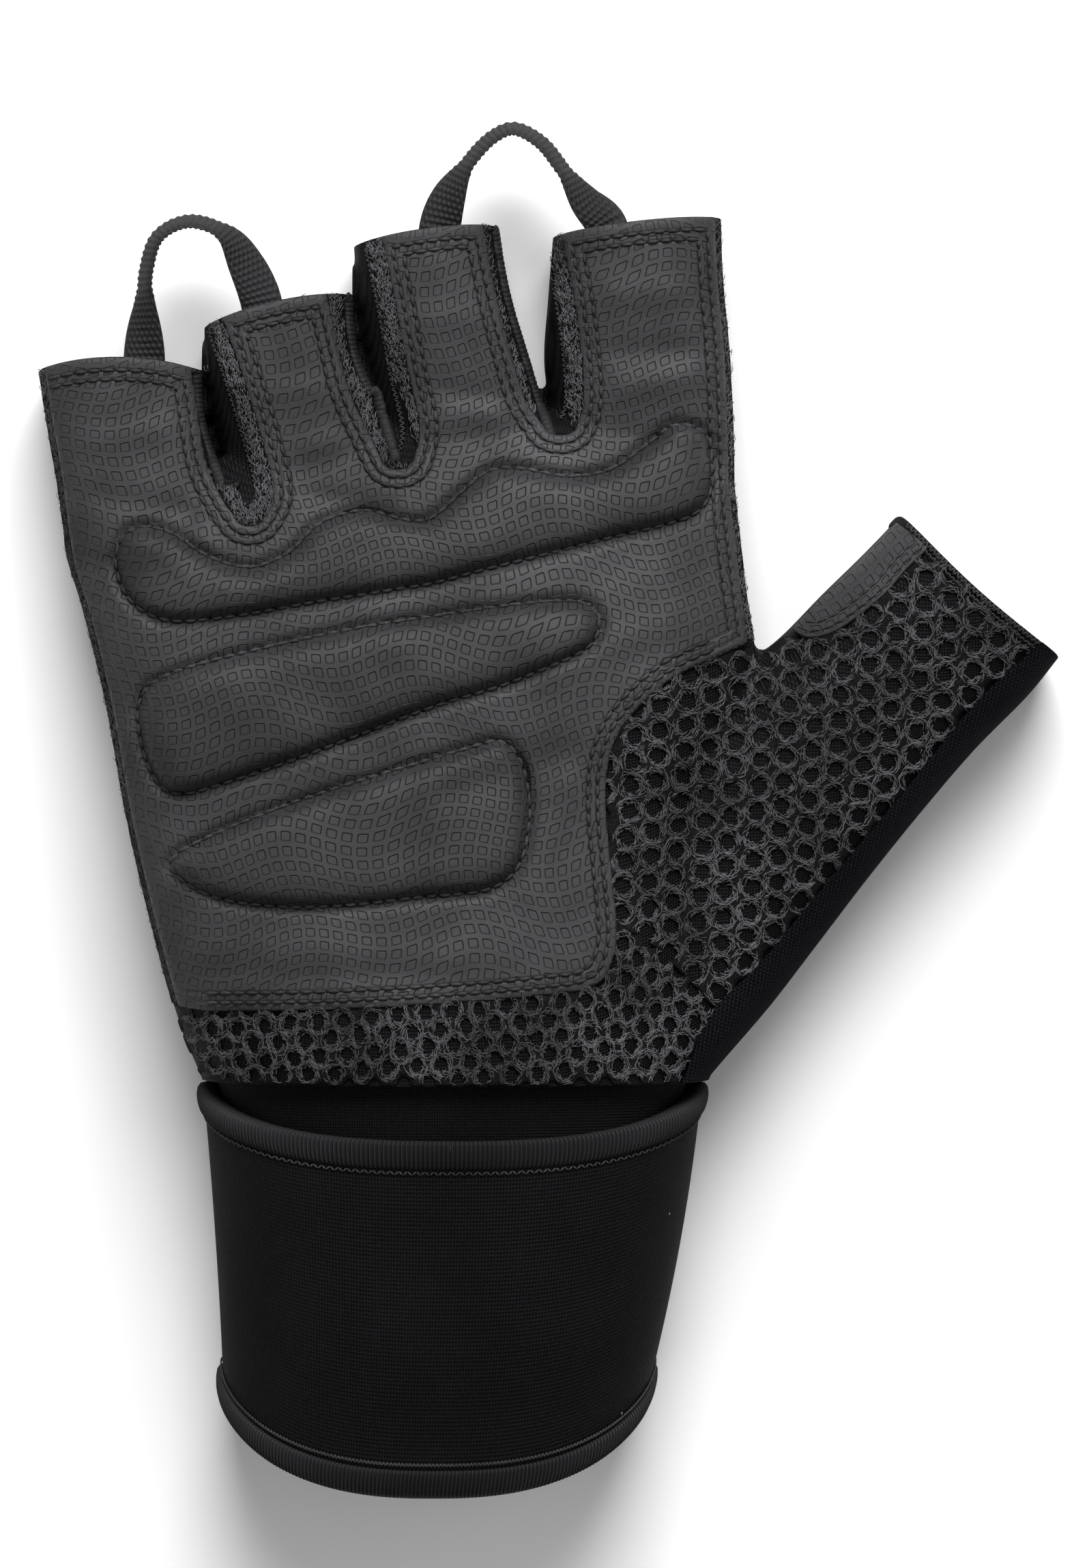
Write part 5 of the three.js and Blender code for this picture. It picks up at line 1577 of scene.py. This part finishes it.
class GLOVE_OT_cuff(bpy.types.Operator):
    """Wrist wrap: collar, strap, ribbed bindings and closure"""

    bl_idname = "glove.cuff"
    bl_label = "Cuff"

    def execute(self, context):
        angles = even_angles(360)
        outside = [(down, 0.25 * math.sin(math.pi * (down - 3) / 43)) for down in np.linspace(3.0, 46.0, 44)]
        inside = [(down, -STRAP_WALL) for down in np.linspace(46.0, 3.0, 12)]
        strap = ring_mesh(outside + inside, angles)
        add_piece("strap_wrap", strap, strap_cloth(), ("wrist_strap",), 60)
        top = [(3.9, 0.0), (3.75, 0.55), (3.2, 0.95), (2.4, 1.1), (1.5, 1.1), (0.7, 0.9), (0.15, 0.4),
               (-0.05, -0.6), (0.15, -1.9), (0.8, -2.6), (2.2, -2.75), (3.6, -2.5), (3.7, -1.2)]
        piece = add_piece("binding_upper", binding_mesh(top), binding_cloth(),
                          ("strap_binding_top",), 70)
        bottom = [(CUFF_LENGTH - down, out) for down, out in top][::-1]
        piece = add_piece("binding_lower", binding_mesh(bottom), binding_cloth(),
                          ("strap_binding_bottom",), 70)
        rings = []
        out = -STRAP_WALL - SEAM_GAP
        for wall in (0.0, -1.4):
            ring = []
            for y in np.linspace(4.0, -16.0, 24):
                row = cuff_row(max(0, -y / CUFF_LENGTH), out + wall)
                row[1] = row[3] = y
                row[7] = 0
                ring.append(section(row, angles, 0))
            rings += ring if wall == 0 else ring[::-1]
        points = np.array(rings).reshape(-1, 3)
        collar = mesh_of(placed(points), grid_faces(len(rings), len(angles), True, True)[:, ::-1])
        wound(collar, len(rings), len(angles), points.reshape(len(rings), -1, 3)[:, 0, 1])
        add_piece("collar_sleeve", collar, collar_cloth(), ("wrist_collar",), 60)
        self.rows_of_thread()
        self.closure()
        return {"FINISHED"}

    def rows_of_thread(self):
        parts = []
        for down, lean, count, radius in ((4.4, 0.28, 300, 0.15), (CUFF_LENGTH - 4.6, 0.32, 600, 0.13)):
            a, ups = cuff_line(down - lean, 0.2, count)
            b, _ = cuff_line(down + lean, 0.2, count)
            knots = np.where((np.arange(count) % 2 == 0)[:, None], a, b)
            ends = np.roll(knots, -1, axis=0)
            way = (ends - knots) * 0.05
            parts.append(stitch_arrays(knots + way, ends - way, ups, radius, 0.1))
        points, faces = joined_arrays(parts)
        add_piece("cuff_thread", mesh_of(placed(points), faces), thread_cloth(), (), 60)

    def closure(self):
        middle = (PALM_ROWS[0][0] + PALM_ROWS[0][2]) / 2 * PALM_WIDTH
        right, top = middle + CLOSURE_WIDTH / 2, -BINDING_WIDTH - 4 * SEAM_GAP
        radius = CLOSURE_WIDTH / 6
        turn = np.linspace(0, np.pi / 2, 9)
        upper = [(right - radius + radius * math.sin(t), top - radius + radius * math.cos(t)) for t in turn]
        lower = [(x, 2 * top - CLOSURE_LENGTH - y) for x, y in upper[::-1]]
        outline = np.array([(right - CLOSURE_WIDTH, top), *upper, *lower, (right - CLOSURE_WIDTH, top - CLOSURE_LENGTH)])
        plate = prism(outline, 0.05, CLOSURE_THICKNESS)
        plate = softened(plate, 0.4, 4)
        add_piece("closure_tab", moved(plate), strap_cloth(), ("strap_closure",), 60)


def centripetal(points, count):
    """Points on a centripetal Catmull-Rom curve through the given ones."""
    points = np.asarray(points, float)
    first = 2 * points[0] - points[1]
    last = 2 * points[-1] - points[-2]
    whole = np.vstack([first, points, last])
    made = []
    for t in np.linspace(0, len(points) - 1, count):
        k = min(int(t), len(points) - 2)
        w = t - k
        p = whole[k:k + 4]
        d = [max(np.sum((b - a) ** 2) ** 0.25, 1e-4) for a, b in zip(p, p[1:])]
        t1 = ((p[1] - p[0]) / d[0] - (p[2] - p[0]) / (d[0] + d[1]) + (p[2] - p[1]) / d[1]) * d[1]
        t2 = ((p[2] - p[1]) / d[1] - (p[3] - p[1]) / (d[1] + d[2]) + (p[3] - p[2]) / d[2]) * d[1]
        made.append(p[1] + t1 * w + (-3 * p[1] + 3 * p[2] - 2 * t1 - t2) * w**2
                    + (2 * p[1] - 2 * p[2] + t1 + t2) * w**3)
    return np.array(made)


def loop_foot(finger, share):
    row = finger_rows(finger)[-1]
    plan = mix(row[0:2], row[2:4], share)
    half = np.linalg.norm(row[2:4] - row[0:2]) / 2 - BODY_WALL
    off = abs(2 * share - 1) + LOOP_WIDTH / 2 / half
    lining = (row[4] - BODY_WALL - SEAM_HEIGHT) * (1 - off**FINGER_SQUARE) ** (1 / FINGER_SQUARE)
    return np.array([plan[0], plan[1] + row[6] * (1 - (2 * share - 1) ** 2),
                     SEAM_HEIGHT + lining - 3 * SEAM_GAP - LOOP_THICKNESS / 2])


LOOP_TURN = 0.76


class GLOVE_OT_loops(bpy.types.Operator):
    """Woven pull loops between the fingers"""

    bl_idname = "glove.loops"
    bl_label = "Pull loops"

    def execute(self, context):
        for name, (first, second, height, leave, arrive, route) in LOOPS.items():
            start, end = loop_foot(first, leave), loop_foot(second, arrive)
            crown = max(start[1], end[1]) + height
            points = [start - (0, LOOP_TUCK, 0)]
            for across, up, _ in route:
                point = mix(start, end, across)
                point[1] = mix(point[1], crown, up)
                points.append(point)
            points.append(end - (0, LOOP_TUCK, 0))
            count = 260
            path = centripetal(points, count)
            turns = np.interp(np.linspace(0, len(points) - 1, count), np.arange(len(points)),
                              [0, *[row[2] for row in route], 0]) * np.pi / 2
            turns = np.minimum(turns, LOOP_TURN * np.pi / 2)
            way = np.gradient(path, axis=0)
            way /= np.linalg.norm(way, axis=1, keepdims=True)
            up = np.array([0, 0, 1.0])
            flat = np.cross(way, up)
            flat /= np.linalg.norm(flat, axis=1, keepdims=True)
            across = flat * np.cos(turns)[:, None] + up * np.sin(turns)[:, None]
            through = np.cross(way, across)
            at = np.concatenate([[0], np.cumsum(np.linalg.norm(np.diff(path, axis=0), axis=1))])
            rib = np.cos(2 * np.pi * at / 1.0)
            ring = []
            half = 10
            for side in (1, -1):
                for k in range(half + 1):
                    share = (k / half * 2 - 1) * side
                    edge = 1 - abs(share) ** 6
                    ring.append((share, side * edge))
            rings = []
            for k in range(count):
                thick = LOOP_THICKNESS / 2 * (0.72 + 0.2 * rib[k])
                rings.append([path[k] + across[k] * LOOP_WIDTH / 2 * s + through[k] * thick * t for s, t in ring])
            points = np.array(rings)
            sides = len(ring)
            faces = grid_faces(count, sides).tolist()
            faces += [list(range(sides)), [(count - 1) * sides + i for i in range(sides - 1, -1, -1)]]
            mesh = mesh_of(placed(points.reshape(-1, 3)), faces)
            across = np.tile([s * LOOP_WIDTH / 2 for s, _ in ring], count)
            add_values(mesh, "pattern", np.column_stack([across, np.repeat(at, sides), np.zeros(len(across))]))
            add_piece("webbing_" + name, mesh, webbing_cloth(), ("loop_" + name,), 60)
        return {"FINISHED"}


STITCH_RADIUS = 0.3


def patch_shows(x, y):
    return (sample(silhouette(), x, y) > 0.5) & (sample(region(rim_outline()), x, y) < 0.2)


class GLOVE_OT_stitching(bpy.types.Operator):
    """Stitch rows along the leather's edges and round the pads"""

    bl_idname = "glove.stitching"
    bl_label = "Stitching"

    def execute(self, context):
        height = leather_height()
        pitch = look().stitch_pitch
        lines = []
        inside = leather_inside(HEM_TURN, FAR_OUT)
        guides = [spline(outer_edge(), 5), *[slot_curve(slot) for slot in SLOTS], spline(index_edge(), 5),
                  spline(palm_points(THUMB_SEAM), 5),
                  spline(palm_points([THUMB_SEAM[-1]] + HEEL_EDGE), 5)]
        for name in FINGERS:
            row = finger_rows(name)[-1]
            xs = np.linspace(row[0] + 1.5, row[2] - 1.5, 20)
            guides.append(np.column_stack([xs, hem_line(name, xs)]))
        for guide in guides[1:]:
            for level in (look().first_row, look().second_row):
                lines += level_line(guide, inside, level)
        parts, holes = [], []

        def sew(line, radius):
            starts, stops, ups = row_of_stitches(line, height, pitch, radius)
            parts.append(stitch_arrays(starts, stops, ups, radius, 0.14))
            # A near-black sunk blob at each stitch's hole stands in for the shade in the hole: painted shade.
            way = (stops - starts) * 0.12
            sunk = starts - (stops - starts) * 0.1 - ups * radius * 0.9
            holes.append(stitch_arrays(sunk - way, sunk + way, ups, radius * 1.15, 0.0))

        for line in lines:
            sew(line, STITCH_RADIUS)
        for name in PADS:
            rows = np.array(PADS[name])
            outline = np.vstack([palm_points(rows[:, [0, 1]]), palm_points(rows[::-1][:, [0, 2]])])
            outline = np.vstack([outline, outline[:1]])
            for line in level_line(outline, pad_inside(name), 0.0):
                sew(line, STITCH_RADIUS)
        height = over_skin(0.75)
        guide = spline(thumb_points(PATCH_EDGE), 5)
        for level in (0.8, 2.1):
            for line in level_line(guide, region(patch_outline()), level, patch_shows):
                sew(line, STITCH_RADIUS * 0.8)
        for name, made, material in (("leather_stitches", parts, thread_cloth()), ("needle_hole_painted_shade", holes, needle_hole_shade_cloth())):
            points, faces = joined_arrays(made)
            add_piece(name, mesh_of(placed(points), faces), material, (), 60)
        return {"FINISHED"}


CAMERA_AT = (-0.34, 3.37)
CAMERA_HIGH = 1.0
PICTURE_HEIGHT = 0.2504
SILHOUETTE_LEVEL = 0.012


class GLOVE_OT_stage(bpy.types.Operator):
    """Floor, studio light and camera"""

    bl_idname = "glove.stage"
    bl_label = "Stage"

    def execute(self, context):
        scene = context.scene
        size = 3.0
        floor = bpy.data.objects.new("floor", mesh_of([(-size, -size, 0), (size, -size, 0), (size, size, 0),
                                                       (-size, size, 0)], [(0, 1, 2, 3)], "floor"))
        scene.collection.objects.link(floor)
        floor.data.materials.append(stage_material())
        world = bpy.data.worlds.new("Studio")
        world.use_nodes = True
        world.node_tree.nodes["Background"].inputs[0].default_value = (1, 1, 1, 1)
        world.node_tree.nodes["Background"].inputs[1].default_value = 0.3
        scene.world = world
        scene.view_settings.view_transform = "Standard"
        for name, power, size, where in (("key", 37, 0.8, (0.1, 0.95, 0.85)), ("fill", 6, 1.2, (-1.0, -0.3, 1.0)),
                                         ("side", 5, 1.0, (1.1, 0.1, 0.9))):
            light = bpy.data.lights.new(name, "AREA")
            light.energy = power
            light.size = size
            lamp = bpy.data.objects.new(name, light)
            lamp.location = where
            lamp.rotation_euler = (-Vector(where)).to_track_quat("-Z", "Y").to_euler()
            scene.collection.objects.link(lamp)
        data = bpy.data.cameras.new("camera")
        data.sensor_fit = "VERTICAL"
        data.sensor_height = 24.0
        distance = CAMERA_HIGH - SILHOUETTE_LEVEL
        data.lens = data.sensor_height * distance / PICTURE_HEIGHT
        camera = bpy.data.objects.new("camera", data)
        camera.location = (CAMERA_AT[0] * MM, CAMERA_AT[1] * MM, CAMERA_HIGH)
        scene.collection.objects.link(camera)
        scene.camera = camera
        return {"FINISHED"}


class GLOVE_PT_panel(bpy.types.Panel):
    """Buttons that build the glove"""

    bl_idname = "GLOVE_PT_panel"
    bl_label = "Weightlifting glove"
    bl_space_type = "VIEW_3D"
    bl_region_type = "UI"
    bl_category = "Glove"

    def draw(self, context):
        for key in GloveLook.__annotations__:
            self.layout.prop(context.scene.glove_look, key)
        for operator in OPERATORS:
            self.layout.operator(operator.bl_idname)


OPERATORS = (GLOVE_OT_shell, GLOVE_OT_palm, GLOVE_OT_thumb, GLOVE_OT_heel, GLOVE_OT_gussets, GLOVE_OT_cuff,
             GLOVE_OT_loops, GLOVE_OT_stitching, GLOVE_OT_stage)
CLASSES = (GloveLook, *OPERATORS, GLOVE_PT_panel)


def register():
    for one in CLASSES:
        bpy.utils.register_class(one)
    bpy.types.Scene.glove_look = bpy.props.PointerProperty(type=GloveLook)


def unregister():
    del bpy.types.Scene.glove_look
    for one in reversed(CLASSES):
        bpy.utils.unregister_class(one)


def main():
    register()
    bpy.ops.glove.shell()
    bpy.ops.glove.palm()
    bpy.ops.glove.thumb()
    bpy.ops.glove.heel()
    bpy.ops.glove.gussets()
    bpy.ops.glove.cuff()
    bpy.ops.glove.loops()
    bpy.ops.glove.stitching()
    bpy.ops.glove.stage()


if __name__ == "__main__":
    main()
